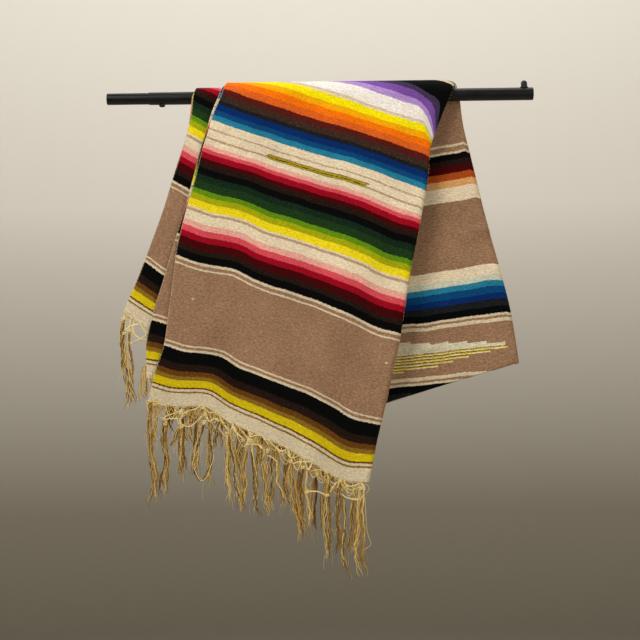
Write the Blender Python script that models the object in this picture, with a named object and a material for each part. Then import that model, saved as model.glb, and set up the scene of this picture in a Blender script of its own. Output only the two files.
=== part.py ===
"""A mexican serape, folded in four and thrown over a black telescoping rail.

The serape is two long woven webs that are joined edge to edge along the middle, with a knotted
fringe on each hem. It is folded across its middle, then lengthwise along the centre join, and hung
over the rail. Both fringed ends hang in front and the crosswise loop hangs behind.

Four layers lie on the rail. Level 0 is next to the rail and level 3 is outermost. The left web
fills levels 3 and 2, the right web fills levels 0 and 1, and they meet at the lengthwise fold,
which is on the right. The origin is on the rail's axis at mid length. X runs along the rail, -Y is
the front and +Z is up. Sizes are in millimetres until a point becomes a vertex.
"""

import math
from collections import namedtuple

import bmesh
import bpy
from mathutils import Vector

MM = 0.001

# Rail: an outer tube, a thinner tube that slides in its left end, the snap button that locks the
# two and a domed knob on top near the right end.
RAIL_RADIUS = 12.7
RAIL_LEFT = -420.0
RAIL_JOINT = -336.0
RAIL_RIGHT = 432.0
RAIL_EDGE = 1.0
RAIL_SIDES = 24
SLIDE_RADIUS = 11.6
SOCKET_RADIUS = 11.9
SOCKET_DEPTH = 70.0
SLIDE_INSERT = 60.0
TUBE_SEAT = 0.3
BUTTON_X = -310.0
BUTTON_RADIUS = 6.2
BUTTON_HEIGHT = 4.5
# The rounded end of the button, as shares of its height and of its radius.
BUTTON_CROWN = ((0.4, 1.0), (0.75, 0.85), (0.95, 0.5), (1.0, 0.0))
KNOB_X = 414.0
KNOB_RADIUS = 6.4
KNOB_FOOT_RADIUS = 8.6
KNOB_HEIGHT = 14.0

# Cloth wall and the stack of layers.
WALL = 3.0
SEAM_GAP = 0.3
FIRST_RADIUS = 14.8
PITCH_AT_RAIL = 4.6
PITCH_BELOW = 7.0
PITCH_FULL_DEPTH = 560.0
MIDDLE_LEVEL = 1.5
OUTER_SPREAD = 1.5
INNER_SPREAD = 0.5
INNER_FOLD_SHARE = 0.55

# The lengthwise fold is loose where it crosses the rail and closes further down.
FRONT_LOOSE_ROLL = 42.0
BACK_LOOSE_ROLL = 12.0
ROLL_CLOSES_AT = 105.0

# Soft folds that all layers of one side share, full at the hem and none at the rail.
FRONT_SWAY = 8.0
FRONT_SWAY_LENGTH = 285.0
BACK_SWAY = 6.0
BACK_SWAY_LENGTH = 340.0
SWAY_LEAN = 0.22
SWAY_FULL_DEPTH = 760.0

# Rows and columns of the woven grids.
FLAT_COLUMNS = 11
ROLL_COLUMNS = 4
LEG_ROWS = 10
LOOP_ROWS = 8
RAIL_ROWS = 8
TURN_ROWS = 6

# Outlines in front, by depth below the rail's axis: the left selvage of each of the four layers
# and the lengthwise fold on the right.
FrontSection = namedtuple("FrontSection", "depth level_3 level_2 level_1 level_0 fold")
FRONT_SECTIONS = [
    FrontSection(0, -190, -196, -247, -249, 268),
    FrontSection(35, -206, -211, -251, -253, 252),
    FrontSection(70, -217, -221, -259, -258, 238),
    FrontSection(105, -229, -233, -270, -263, 225),
    FrontSection(165, -244, -249, -290, -273, 219),
    FrontSection(225, -262, -266, -309, -286, 208),
    FrontSection(300, -281, -290, -337, -300, 193),
    FrontSection(360, -289, -308, -361, -310, 180),
    FrontSection(430, -299, -330, -392, -316, 168),
    FrontSection(490, -308, -344, -410, -319, 158),
    FrontSection(550, -328, -344, -420, -322, 144),
    FrontSection(610, -342, -350, -428, -324, 130),
    FrontSection(690, -362, -362, -440, -330, 110),
    FrontSection(780, -384, -376, -452, -340, 92),
]

# Outlines behind: the left selvage of each web and the fold on the right.
BackSection = namedtuple("BackSection", "depth left_web right_web fold")
BACK_SECTIONS = [
    BackSection(0, -166, -232, 287),
    BackSection(60, -155, -221, 294),
    BackSection(130, -139, -206, 310),
    BackSection(200, -122, -191, 326),
    BackSection(270, -105, -175, 343),
    BackSection(340, -89, -160, 362),
    BackSection(430, -70, -140, 384),
    BackSection(540, -47, -115, 401),
    BackSection(700, -15, -82, 428),
]

# How far each fringed hem and each loop hangs below the rail's axis, across the half width.
HemSection = namedtuple("HemSection", "across level_3 level_2 level_1 level_0")
HEM_SECTIONS = [
    HemSection(0.00, 601, 556, 427, 590),
    HemSection(0.10, 613, 566, 457, 606),
    HemSection(0.25, 617, 581, 494, 630),
    HemSection(0.36, 645, 588, 520, 652),
    HemSection(0.50, 671, 607, 548, 678),
    HemSection(0.65, 701, 626, 584, 706),
    HemSection(0.80, 739, 637, 615, 735),
    HemSection(0.90, 764, 649, 640, 754),
    HemSection(1.00, 769, 656, 656, 769),
]
LoopSection = namedtuple("LoopSection", "across left_web right_web")
LOOP_SECTIONS = [
    LoopSection(0.00, 652, 684),
    LoopSection(0.25, 632, 650),
    LoopSection(0.45, 610, 618),
    LoopSection(0.60, 590, 597),
    LoopSection(0.75, 568, 576),
    LoopSection(0.88, 550, 558),
    LoopSection(1.00, 538, 541),
]

# Knotted fringe: each hem has tassels of a few strands on a narrow woven strip.
TASSELS = 22
STRIP_HEIGHT = 4.0
HEM_GAP = 0.5
STRIP_WALL = 2.2
STRAND_TIP = 0.45
TASSEL_GATHER = 0.22
KNOT_DEPTH = 38.0
STRAND_SWING = 1.3

# Length of the tassels of each fringe, across the half width.
FringeLength = namedtuple("FringeLength", "across level_3 level_2 level_1 level_0")
FRINGE_LENGTHS = [
    FringeLength(0.00, 210, 100, 172, 150),
    FringeLength(0.12, 170, 110, 186, 165),
    FringeLength(0.25, 126, 140, 160, 150),
    FringeLength(0.40, 132, 150, 150, 140),
    FringeLength(0.50, 165, 140, 165, 150),
    FringeLength(0.58, 108, 150, 150, 155),
    FringeLength(0.68, 182, 155, 160, 150),
    FringeLength(0.80, 200, 160, 150, 160),
    FringeLength(0.90, 198, 150, 155, 165),
    FringeLength(1.00, 182, 140, 150, 160),
]
# A fringe's lean is how far its strands hang to the right for each millimetre down.
Fringe = namedtuple("Fringe", "name level strands_per_tassel rings left_lean fold_lean")
FRINGES = [
    Fringe("fringe_outer", 3, 3, 3, 0.02, 0.0),
    Fringe("fringe_second", 2, 2, 2, 0.05, -0.24),
    Fringe("fringe_third", 1, 2, 2, 0.18, -0.24),
    Fringe("fringe_inner", 0, 2, 2, 0.0, -0.02),
]

# A web starts at its hem on level `outer`, goes over the rail, turns at the loop and comes back to
# its second hem on level `inner`. `side` is +1 above the middle level and -1 below it.
Web = namedtuple("Web", "name outer inner side")
WEBS = [
    Web("left_web", 3, 2, 1),
    Web("right_web", 0, 1, -1),
]


def clear_scene():
    for scene_object in list(bpy.data.objects):
        bpy.data.objects.remove(scene_object, do_unlink=True)


def finish(name, colour, roughness, metallic=0.0):
    """A plain finish of one colour for one kind of piece."""
    material = bpy.data.materials.new(name)
    material.use_nodes = True
    shader = material.node_tree.nodes["Principled BSDF"]
    shader.inputs["Base Color"].default_value = (*colour, 1.0)
    shader.inputs["Roughness"].default_value = roughness
    shader.inputs["Metallic"].default_value = metallic
    return material


def ease(value):
    """0 below 0, 1 above 1, and a smooth step between."""
    held = min(max(value, 0.0), 1.0)
    return held * held * (3.0 - 2.0 * held)


def mix(start, end, share):
    return start + (end - start) * share


def read_table(rows, column, where):
    """A smooth curve through one named column of a table, by the table's first column."""
    places = [row[0] for row in rows]
    sizes = [getattr(row, column) for row in rows]
    slopes = []
    for index in range(len(rows)):
        before = max(index - 1, 0)
        after = min(index + 1, len(rows) - 1)
        slopes.append((sizes[after] - sizes[before]) / (places[after] - places[before]))
    if where <= places[0]:
        return sizes[0] + slopes[0] * (where - places[0])
    if where >= places[-1]:
        return sizes[-1] + slopes[-1] * (where - places[-1])
    start = max(index for index in range(len(rows)) if places[index] <= where)
    span = places[start + 1] - places[start]
    share = (where - places[start]) / span
    return (sizes[start] * (1.0 + 2.0 * share) * (1.0 - share) ** 2
            + slopes[start] * span * share * (1.0 - share) ** 2
            + sizes[start + 1] * share * share * (3.0 - 2.0 * share)
            + slopes[start + 1] * span * share * share * (share - 1.0))


def level_name(level):
    return f"level_{level}"


def layer_pitch(depth):
    """Distance from one layer to the next: tight on the rail, looser where the cloth hangs."""
    return mix(PITCH_AT_RAIL, PITCH_BELOW, ease(depth / PITCH_FULL_DEPTH))


def sway(x, depth, front):
    """How far the soft folds push a hanging layer out."""
    lean = x + SWAY_LEAN * depth if front else x - SWAY_LEAN * depth
    size = FRONT_SWAY if front else BACK_SWAY
    length = FRONT_SWAY_LENGTH if front else BACK_SWAY_LENGTH
    turn = 2.0 * math.pi * lean / length
    share = ease(depth / SWAY_FULL_DEPTH)
    return size * share * (1.0 + math.sin(turn) + 0.35 * math.sin(2.3 * turn + 0.8))


def hanging_point(x, depth, level, front):
    """A point of a layer that hangs below the rail's axis."""
    out = FIRST_RADIUS + layer_pitch(depth) * level + sway(x, depth, front)
    return Vector((x, -out if front else out, -depth))


def rail_point(x, angle, level):
    """A point of a layer that lies round the rail: angle 0 is in front, pi is behind."""
    radius = FIRST_RADIUS + PITCH_AT_RAIL * level
    return Vector((x, -radius * math.cos(angle), radius * math.sin(angle)))


def across_web(left, fold, pitch, loose, column, spread, side):
    """X and level at a column: 0 to 1 is flat cloth and 1 to 2 is the roll of the fold.

    The outer fold is a wide loose roll. The inner one is a tight half circle inside it.
    """
    looser = spread - INNER_SPREAD
    reach = spread * pitch + loose * looser
    centre = fold - WALL / 2 - MIDDLE_LEVEL * pitch - loose * mix(1.0, INNER_FOLD_SHARE, 1.0 - looser)
    angle = math.pi / 2 * max(column - 1.0, 0.0)
    level = MIDDLE_LEVEL + side * (spread * math.cos(angle) + SEAM_GAP / 2 / pitch)
    return mix(left, centre, min(column, 1.0)) + reach * math.sin(angle), level


def roll_looseness(depth, front):
    size = FRONT_LOOSE_ROLL if front else BACK_LOOSE_ROLL
    return size * (1.0 - ease(depth / ROLL_CLOSES_AT))


def front_point(web, level, share, column):
    """A leg in front: share 0 is at the hem and 1 is at the rail."""
    drop = read_table(HEM_SECTIONS, level_name(level), min(column, 1.0))
    depth = drop * (1.0 - share)
    left = read_table(FRONT_SECTIONS, level_name(level), depth)
    fold = read_table(FRONT_SECTIONS, "fold", depth)
    spread = abs(level - MIDDLE_LEVEL)
    x, height = across_web(left, fold, layer_pitch(depth), roll_looseness(depth, True),
                           column, spread, web.side)
    return hanging_point(x, depth, height, True)


def round_rail_point(web, level, share, column):
    """The half turn over the rail: share 0 is in front and 1 is behind."""
    left = mix(read_table(FRONT_SECTIONS, level_name(level), 0.0),
               read_table(BACK_SECTIONS, web.name, 0.0), share)
    fold = mix(read_table(FRONT_SECTIONS, "fold", 0.0),
               read_table(BACK_SECTIONS, "fold", 0.0), share)
    spread = abs(level - MIDDLE_LEVEL)
    loose = mix(FRONT_LOOSE_ROLL, BACK_LOOSE_ROLL, share)
    x, height = across_web(left, fold, PITCH_AT_RAIL, loose, column, spread, web.side)
    return rail_point(x, math.pi * share, height)


def back_point(web, depth, spread, column):
    left = read_table(BACK_SECTIONS, web.name, depth)
    fold = read_table(BACK_SECTIONS, "fold", depth)
    x, height = across_web(left, fold, layer_pitch(depth), roll_looseness(depth, False),
                           column, spread, web.side)
    return hanging_point(x, depth, height, False)


def loop_centre(web, column):
    """Depth of the axis that the cloth turns round at the bottom of the loop."""
    drop = read_table(LOOP_SECTIONS, web.name, min(column, 1.0))
    return drop - WALL / 2 - layer_pitch(drop) / 2


def web_point(web, row, column):
    """Middle of the cloth: row counts the stretches of the web from its first hem to its last."""
    stretch = min(int(max(row, 0.0)), 6)
    share = row - stretch
    if stretch == 0:
        return front_point(web, web.outer, share, column)
    if stretch == 1:
        return round_rail_point(web, web.outer, share, column)
    if stretch == 2:
        return back_point(web, loop_centre(web, column) * share, OUTER_SPREAD, column)
    if stretch == 3:
        centre = loop_centre(web, column)
        turn = math.pi * share
        depth = centre + layer_pitch(centre) / 2 * math.sin(turn)
        return back_point(web, depth, 1.0 + INNER_SPREAD * math.cos(turn), column)
    if stretch == 4:
        return back_point(web, loop_centre(web, column) * (1.0 - share), INNER_SPREAD, column)
    if stretch == 5:
        return round_rail_point(web, web.inner, 1.0 - share, column)
    return front_point(web, web.inner, 1.0 - share, column)


def web_rows():
    counts = (LEG_ROWS, RAIL_ROWS, LOOP_ROWS, TURN_ROWS, LOOP_ROWS, RAIL_ROWS, LEG_ROWS)
    rows = [stretch + step / count for stretch, count in enumerate(counts) for step in range(count)]
    return rows + [float(len(counts))]


def web_columns():
    flat = [step / FLAT_COLUMNS for step in range(FLAT_COLUMNS)]
    roll = [1.0 + step / ROLL_COLUMNS for step in range(ROLL_COLUMNS + 1)]
    return flat + roll


def facing(web, row, column):
    """Direction square to the cloth, from a small step each way."""
    step = 0.004
    low_row = max(row - step, 0.0)
    high_row = min(row + step, 7.0)
    along = web_point(web, high_row, column) - web_point(web, low_row, column)
    across = web_point(web, row, column + step) - web_point(web, row, column - step)
    return along.cross(across).normalized()


def add_object(name, mesh_builder, material):
    mesh = bpy.data.meshes.new(name)
    mesh_builder.to_mesh(mesh)
    mesh_builder.free()
    mesh.materials.append(material)
    piece = bpy.data.objects.new(name, mesh)
    bpy.context.collection.objects.link(piece)
    return piece


def add_web(web, material):
    """One woven web: a wall of even thickness on both sides of its middle surface."""
    rows = web_rows()
    columns = web_columns()
    builder = bmesh.new()
    sheets = []
    for side in (1.0, -1.0):
        grid = []
        for row in rows:
            line = []
            for column in columns:
                middle = web_point(web, row, column)
                point = middle + facing(web, row, column) * (side * WALL / 2)
                line.append(builder.verts.new(point * MM))
            grid.append(line)
        sheets.append(grid)
    for grid in sheets:
        for first, second in zip(grid, grid[1:]):
            for index in range(len(columns) - 1):
                builder.faces.new((first[index], first[index + 1], second[index + 1], second[index]))
    outer, inner = sheets
    for end in (0, -1):
        for index in range(len(columns) - 1):
            builder.faces.new((outer[end][index], outer[end][index + 1],
                               inner[end][index + 1], inner[end][index]))
        for index in range(len(rows) - 1):
            builder.faces.new((outer[index][end], outer[index + 1][end],
                               inner[index + 1][end], inner[index][end]))
    bmesh.ops.recalc_face_normals(builder, faces=builder.faces)
    piece = add_object(web.name, builder, material)
    piece.data.shade_smooth()
    piece.data.set_sharp_from_angle(angle=math.radians(50))
    return piece


def hem_point(fringe, column):
    """A point of a hem's edge, on the straight stretch between two columns of its web."""
    web = next(web for web in WEBS if fringe.level in (web.outer, web.inner))
    row = 0.0 if fringe.level == web.outer else 7.0
    place = min(int(column * FLAT_COLUMNS), FLAT_COLUMNS - 1)
    start = web_point(web, row, place / FLAT_COLUMNS)
    end = web_point(web, row, (place + 1) / FLAT_COLUMNS)
    return start.lerp(end, column * FLAT_COLUMNS - place)


def ring_of_strand(x, depth, level, half_width, half_wall):
    """Four corners of a strand or of the strip, as front left, front right, back right, back left."""
    corners = []
    for side_x, side_y in ((-1, -1), (1, -1), (1, 1), (-1, 1)):
        point = hanging_point(x, depth, level, True)
        corners.append(point + Vector((side_x * half_width, side_y * half_wall, 0.0)))
    return corners


def add_fringe(fringe, material):
    """One fringe: a narrow strip just below the hem, with its strands drawn out of it."""
    builder = bmesh.new()
    strands = TASSELS * fringe.strands_per_tassel
    cells = 2 * strands + 1
    margin = 0.006
    upper = []
    lower = []
    for index in range(cells + 1):
        column = margin + (1.0 - 2.0 * margin) * index / cells
        for line, below in ((upper, HEM_GAP), (lower, HEM_GAP + STRIP_HEIGHT)):
            middle = hem_point(fringe, column) - Vector((0.0, 0.0, below))
            front = middle - Vector((0.0, STRIP_WALL / 2, 0.0))
            back = middle + Vector((0.0, STRIP_WALL / 2, 0.0))
            line.append((builder.verts.new(front * MM), builder.verts.new(back * MM)))
    for index in range(cells):
        front = (upper[index][0], upper[index + 1][0], lower[index + 1][0], lower[index][0])
        back = (upper[index][1], upper[index + 1][1], lower[index + 1][1], lower[index][1])
        builder.faces.new(front)
        builder.faces.new(back)
        builder.faces.new((upper[index][0], upper[index][1], upper[index + 1][1], upper[index + 1][0]))
        under = (lower[index][0], lower[index + 1][0], lower[index + 1][1], lower[index][1])
        if index % 2 == 0:
            builder.faces.new(under)
            continue
        strand = index // 2
        add_strand(builder, fringe, strand, under)
    for end in (0, -1):
        builder.faces.new((upper[end][0], upper[end][1], lower[end][1], lower[end][0]))
    bmesh.ops.recalc_face_normals(builder, faces=builder.faces)
    return add_object(fringe.name, builder, material)


def add_strand(builder, fringe, strand, root):
    """A four-sided strand from one cell of the strip down to its tip, gathered into its tassel."""
    tassel, place = divmod(strand, fringe.strands_per_tassel)
    across = (tassel + 0.5) / TASSELS
    length = read_table(FRINGE_LENGTHS, level_name(fringe.level), across)
    length *= 1.0 + 0.07 * math.sin(5.1 * tassel + 1.9 * place)
    start = sum((vertex.co for vertex in root), Vector()) / len(root) / MM
    half_width = (root[1].co - root[0].co).length / MM / 2
    offset = place - (fringe.strands_per_tassel - 1) / 2
    pull = -offset * TASSEL_GATHER * half_width * 4
    lean = mix(fringe.left_lean, fringe.fold_lean, across)
    ring = root
    for step in range(1, fringe.rings + 1):
        share = step / fringe.rings
        drop = mix(KNOT_DEPTH, length, (step - 1) / max(fringe.rings - 1, 1))
        swing = STRAND_SWING * math.sin(2.2 * tassel + 1.7 * step)
        slim = mix(0.85, STRAND_TIP, share)
        corners = ring_of_strand(start.x + pull + swing * share + lean * drop, -start.z + drop,
                                 fringe.level, half_width * slim, STRIP_WALL / 2 * slim)
        lower = [builder.verts.new(corner * MM) for corner in corners]
        for index in range(4):
            after = (index + 1) % 4
            builder.faces.new((ring[index], ring[after], lower[after], lower[index]))
        ring = lower
    builder.faces.new(ring)


def add_turned(name, profile, material, centre=(0.0, 0.0, 0.0), upright=False, sides=RAIL_SIDES):
    """A turned solid: the profile is (along, radius) from one end of its axis to the other."""
    builder = bmesh.new()
    rings = []
    for along, radius in profile:
        ring = []
        for index in range(sides if radius > 0.0 else 1):
            angle = 2.0 * math.pi * (index + 0.5) / sides
            around = (radius * math.cos(angle), radius * math.sin(angle))
            local = (around[0], around[1], along) if upright else (along, around[0], around[1])
            ring.append(builder.verts.new((Vector(local) + Vector(centre)) * MM))
        rings.append(ring)
    for first, second in zip(rings, rings[1:]):
        for index in range(sides):
            after = (index + 1) % sides
            if len(first) == 1:
                builder.faces.new((first[0], second[index], second[after]))
            elif len(second) == 1:
                builder.faces.new((first[index], first[after], second[0]))
            else:
                builder.faces.new((first[index], first[after], second[after], second[index]))
    bmesh.ops.recalc_face_normals(builder, faces=builder.faces)
    piece = add_object(name, builder, material)
    piece.data.shade_smooth()
    piece.data.set_sharp_from_angle(angle=math.radians(35))
    return piece


def add_rail(material):
    """The outer tube with a socket in its left end, and the thinner tube that slides in it."""
    add_turned("rail_outer_tube", [
        (RAIL_JOINT + SOCKET_DEPTH, 0.0),
        (RAIL_JOINT + SOCKET_DEPTH, SOCKET_RADIUS),
        (RAIL_JOINT, SOCKET_RADIUS),
        (RAIL_JOINT, RAIL_RADIUS - RAIL_EDGE / 2),
        (RAIL_JOINT + RAIL_EDGE, RAIL_RADIUS),
        (RAIL_RIGHT - RAIL_EDGE, RAIL_RADIUS),
        (RAIL_RIGHT, RAIL_RADIUS - RAIL_EDGE),
        (RAIL_RIGHT, 0.0),
    ], material)
    add_turned("rail_inner_tube", [
        (RAIL_LEFT, 0.0),
        (RAIL_LEFT, SLIDE_RADIUS - RAIL_EDGE),
        (RAIL_LEFT + RAIL_EDGE, SLIDE_RADIUS),
        (RAIL_JOINT + SLIDE_INSERT, SLIDE_RADIUS),
        (RAIL_JOINT + SLIDE_INSERT, 0.0),
    ], material)


def dome(foot, radius, top, steps):
    """Heights and radii of a dome that ends in a point at its top."""
    profile = []
    for step in range(steps + 1):
        angle = math.pi / 2 * step / steps
        height = top - radius + radius * math.sin(angle)
        profile.append((max(height, foot), radius * math.cos(angle) if step < steps else 0.0))
    return profile


def add_snap_button(material):
    """The sprung button that locks the two tubes, under the joint. Its seat follows the tube."""
    seat = RAIL_RADIUS + TUBE_SEAT
    profile = [(-seat, 0.0), (-seat, BUTTON_RADIUS / 2), (-seat, BUTTON_RADIUS)]
    for height, width in BUTTON_CROWN:
        profile.append((-seat - BUTTON_HEIGHT * height, BUTTON_RADIUS * width))
    button = add_turned("snap_button", profile, material, centre=(BUTTON_X, 0.0, 0.0),
                        upright=True, sides=12)
    for vertex in button.data.vertices:
        if math.isclose(vertex.co.z, -seat * MM, abs_tol=0.01 * MM):
            vertex.co.z = -math.sqrt((seat * MM) ** 2 - vertex.co.y ** 2)


def add_end_knob(material):
    """A domed knob on a flared foot, on top of the rail near its right end."""
    base = RAIL_RADIUS + TUBE_SEAT
    profile = [(base, 0.0), (base, KNOB_FOOT_RADIUS), (base + 1.2, KNOB_FOOT_RADIUS - 1.0),
               (base + 3.2, KNOB_RADIUS)]
    profile += dome(base + 3.2, KNOB_RADIUS, base + KNOB_HEIGHT, 5)
    add_turned("end_knob", profile, material, centre=(KNOB_X, 0.0, 0.0), upright=True, sides=16)


def build():
    clear_scene()
    wool = finish("serape_wool", (0.25, 0.11, 0.06), 0.9)
    yarn = finish("fringe_yarn", (0.60, 0.47, 0.24), 0.6)
    black = finish("rail_black", (0.012, 0.012, 0.013), 0.4)
    for web in WEBS:
        add_web(web, wool)
    for fringe in FRINGES:
        add_fringe(fringe, yarn)
    add_rail(black)
    add_snap_button(black)
    add_end_knob(black)


build()
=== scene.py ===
import math

import bpy
import numpy as np
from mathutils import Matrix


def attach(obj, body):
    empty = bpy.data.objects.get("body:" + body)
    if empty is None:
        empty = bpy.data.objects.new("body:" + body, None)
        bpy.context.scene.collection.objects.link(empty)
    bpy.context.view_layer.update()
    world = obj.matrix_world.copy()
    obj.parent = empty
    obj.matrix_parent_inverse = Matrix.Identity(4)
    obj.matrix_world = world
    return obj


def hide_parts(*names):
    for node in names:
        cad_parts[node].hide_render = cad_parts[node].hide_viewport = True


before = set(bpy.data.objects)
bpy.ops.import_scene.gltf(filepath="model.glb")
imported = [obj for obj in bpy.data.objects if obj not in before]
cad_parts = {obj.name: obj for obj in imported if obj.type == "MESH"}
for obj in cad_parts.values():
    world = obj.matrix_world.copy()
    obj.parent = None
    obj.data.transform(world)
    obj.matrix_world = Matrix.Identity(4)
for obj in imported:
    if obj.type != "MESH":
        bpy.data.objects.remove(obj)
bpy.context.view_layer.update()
bpy.ops.object.select_all(action="DESELECT")


# Telescoping rail: the outer tube, the thinner tube in its left end and the snap button.
# Steel with a black semi-gloss powder coat: fine orange peel, and along the top a little dust with a
# painted highlight.
# The four CAD solids have the right shape, so they stay and only get their finish.
def linear(hex_colour):
    """Linear colour of an sRGB hex value."""
    channels = []
    for start in (1, 3, 5):
        value = int(hex_colour[start:start + 2], 16) / 255.0
        channels.append(value / 12.92 if value <= 0.04045 else ((value + 0.055) / 1.055) ** 2.4)
    return (*channels, 1.0)


def add_node(tree, kind, sockets=None, **settings):
    """Adds a node, sets its settings and fills its sockets with values or with other outputs."""
    node = tree.nodes.new(kind)
    for name, value in settings.items():
        setattr(node, name, value)
    for name, value in (sockets or {}).items():
        if isinstance(value, bpy.types.NodeSocket):
            tree.links.new(value, node.inputs[name])
        else:
            node.inputs[name].default_value = value
    return node


coat = bpy.data.materials.new("black_powder_coat")
coat.use_nodes = True
tree = coat.node_tree
shader = tree.nodes["Principled BSDF"]
place = add_node(tree, "ShaderNodeTexCoord").outputs["Object"]
# Orange peel of the coat, about 1.2 mm across.
peel = add_node(tree, "ShaderNodeTexNoise", {"Vector": place, "Scale": 850.0, "Detail": 2.0})
# Handling marks that vary the gloss over a few centimetres.
marks = add_node(tree, "ShaderNodeTexNoise", {"Vector": place, "Scale": 38.0, "Detail": 5.0})
gloss = add_node(tree, "ShaderNodeMapRange", {
    "Value": marks.outputs["Fac"], "From Min": 0.3, "From Max": 0.7, "To Min": 0.30, "To Max": 0.46})
normal = add_node(tree, "ShaderNodeBump", {
    "Height": peel.outputs["Fac"], "Strength": 0.25, "Distance": 0.0003})
# Dust and a painted highlight lighten what faces up.
facing_up = add_node(tree, "ShaderNodeSeparateXYZ", {
    "Vector": add_node(tree, "ShaderNodeNewGeometry").outputs["Normal"]})
dust_and_highlight = add_node(tree, "ShaderNodeMapRange", {
    "Value": facing_up.outputs["Z"], "From Min": 0.55, "From Max": 1.0, "To Min": 0.0, "To Max": 0.3})
patchy = add_node(tree, "ShaderNodeMath", {
    0: dust_and_highlight.outputs["Result"], 1: marks.outputs["Fac"]}, operation="MULTIPLY")
colour = add_node(tree, "ShaderNodeMixRGB", {
    "Fac": patchy.outputs["Value"], "Color1": linear("#050505"), "Color2": linear("#33302b")})
tree.links.new(colour.outputs["Color"], shader.inputs["Base Color"])
tree.links.new(gloss.outputs["Result"], shader.inputs["Roughness"])
tree.links.new(normal.outputs["Normal"], shader.inputs["Normal"])
shader.inputs["Specular IOR Level"].default_value = 0.28
for name in ("rail_outer_tube", "rail_inner_tube", "snap_button", "end_knob"):
    for material_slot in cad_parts[name].material_slots:
        material_slot.material = coat


# The two woven webs, each a 468 by 2660 mm strip of weft-faced wool with a firm selvage.
# They lie folded in four over the rail, with the crosswise loop behind and the joined edges at
# the right. Each is one thin closed shell on the form of its solid, with its creases added.
WALL = 2.2
SEAM_GAP = 0.3
SOLID_WALL = 3.0
WEB_WIDTH = 0.468
WEB_LENGTH = 2.66
FIRST_RADIUS = 14.8
PITCH_AT_RAIL = 4.6
PITCH_BELOW = 7.0
PITCH_GROWS_OVER = 560.0
MIDDLE_LEVEL = 1.5
OUTER_SPREAD = 1.5
INNER_SPREAD = 0.5
INNER_FOLD_SHARE = 0.55
FRONT_LOOSE_ROLL = 42.0
BACK_LOOSE_ROLL = 12.0
ROLL_CLOSES_AT = 105.0

# Depth below the rail's axis, left edges of levels 3, 2, 1 and 0, and the fold on the right.
FRONT_TABLE = np.array([
    (0, -190, -196, -247, -249, 268),
    (35, -206, -211, -251, -253, 252),
    (70, -217, -221, -259, -258, 238),
    (105, -229, -233, -270, -263, 225),
    (165, -244, -249, -290, -273, 219),
    (225, -262, -266, -309, -286, 208),
    (300, -281, -290, -337, -300, 193),
    (360, -289, -308, -361, -310, 180),
    (430, -299, -330, -392, -316, 168),
    (490, -308, -344, -410, -319, 158),
    (550, -328, -344, -420, -322, 144),
    (610, -342, -350, -428, -324, 130),
    (690, -362, -362, -440, -330, 110),
    (780, -384, -376, -452, -340, 92),
], dtype=float)
# Depth, left edge of the left web and of the right web behind, and the fold.
BACK_TABLE = np.array([
    (0, -166, -232, 287),
    (60, -155, -221, 294),
    (130, -139, -206, 310),
    (200, -122, -191, 326),
    (270, -105, -175, 343),
    (340, -89, -160, 362),
    (430, -70, -140, 384),
    (540, -47, -115, 401),
    (700, -15, -82, 428),
], dtype=float)
# Share across the web and how deep the hems of levels 3, 2, 1 and 0 hang.
HEM_TABLE = np.array([
    (0.00, 601, 556, 427, 590),
    (0.10, 613, 566, 457, 606),
    (0.25, 617, 581, 494, 630),
    (0.36, 645, 588, 520, 652),
    (0.50, 671, 607, 548, 678),
    (0.65, 701, 626, 584, 706),
    (0.80, 739, 637, 615, 735),
    (0.90, 764, 649, 640, 754),
    (1.00, 769, 656, 656, 769),
], dtype=float)
# Share across and how deep the loops of the left and of the right web hang.
LOOP_TABLE = np.array([
    (0.00, 652, 684),
    (0.25, 632, 650),
    (0.45, 610, 618),
    (0.60, 590, 597),
    (0.75, 568, 576),
    (0.88, 550, 558),
    (1.00, 538, 541),
], dtype=float)
LEVEL_COLUMN = {3: 1, 2: 2, 1: 3, 0: 4}
FOLD_COLUMN = 5
# name, level of the first hem, level of the second hem, side of the middle level, column of the
# tables for what hangs behind
WEBS = (
    ("left_web", 3, 2, 1.0, 1),
    ("right_web", 0, 1, -1.0, 2),
)


def ease(value):
    held = np.clip(value, 0.0, 1.0)
    return held * held * (3.0 - 2.0 * held)


def mix(start, end, share):
    return start + (end - start) * share


def read_table(table, column, where):
    """Smooth curve through one column of a table, straight beyond its ends."""
    places = table[:, 0]
    sizes = table[:, column]
    index = np.arange(len(places))
    before = np.maximum(index - 1, 0)
    after = np.minimum(index + 1, len(places) - 1)
    slopes = (sizes[after] - sizes[before]) / (places[after] - places[before])
    where = np.asarray(where, dtype=float)
    start = np.clip(np.searchsorted(places, where, side="right") - 1, 0, len(places) - 2)
    span = places[start + 1] - places[start]
    share = (where - places[start]) / span
    held = np.clip(share, 0.0, 1.0)
    inside = (sizes[start] * (1.0 + 2.0 * held) * (1.0 - held) ** 2
              + slopes[start] * span * held * (1.0 - held) ** 2
              + sizes[start + 1] * held * held * (3.0 - 2.0 * held)
              + slopes[start + 1] * span * held * held * (held - 1.0))
    past = np.where(share < 0.0, slopes[0] * (where - places[0]), 0.0)
    return inside + past + np.where(share > 1.0, slopes[-1] * (where - places[-1]), 0.0)


def layer_pitch(depth):
    return mix(PITCH_AT_RAIL, PITCH_BELOW, ease(depth / PITCH_GROWS_OVER))


# Soft folds in front and behind: how far apart, how deep, how they lean from upright and the depth
# at which they are full.
FRONT_WAVE_LENGTH = 285.0
BACK_WAVE_LENGTH = 340.0
FRONT_WAVE_SIZE = 8.0
BACK_WAVE_SIZE = 6.0
WAVE_LEAN = 0.22
FULL_WAVE_DEPTH = 760.0


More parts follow.
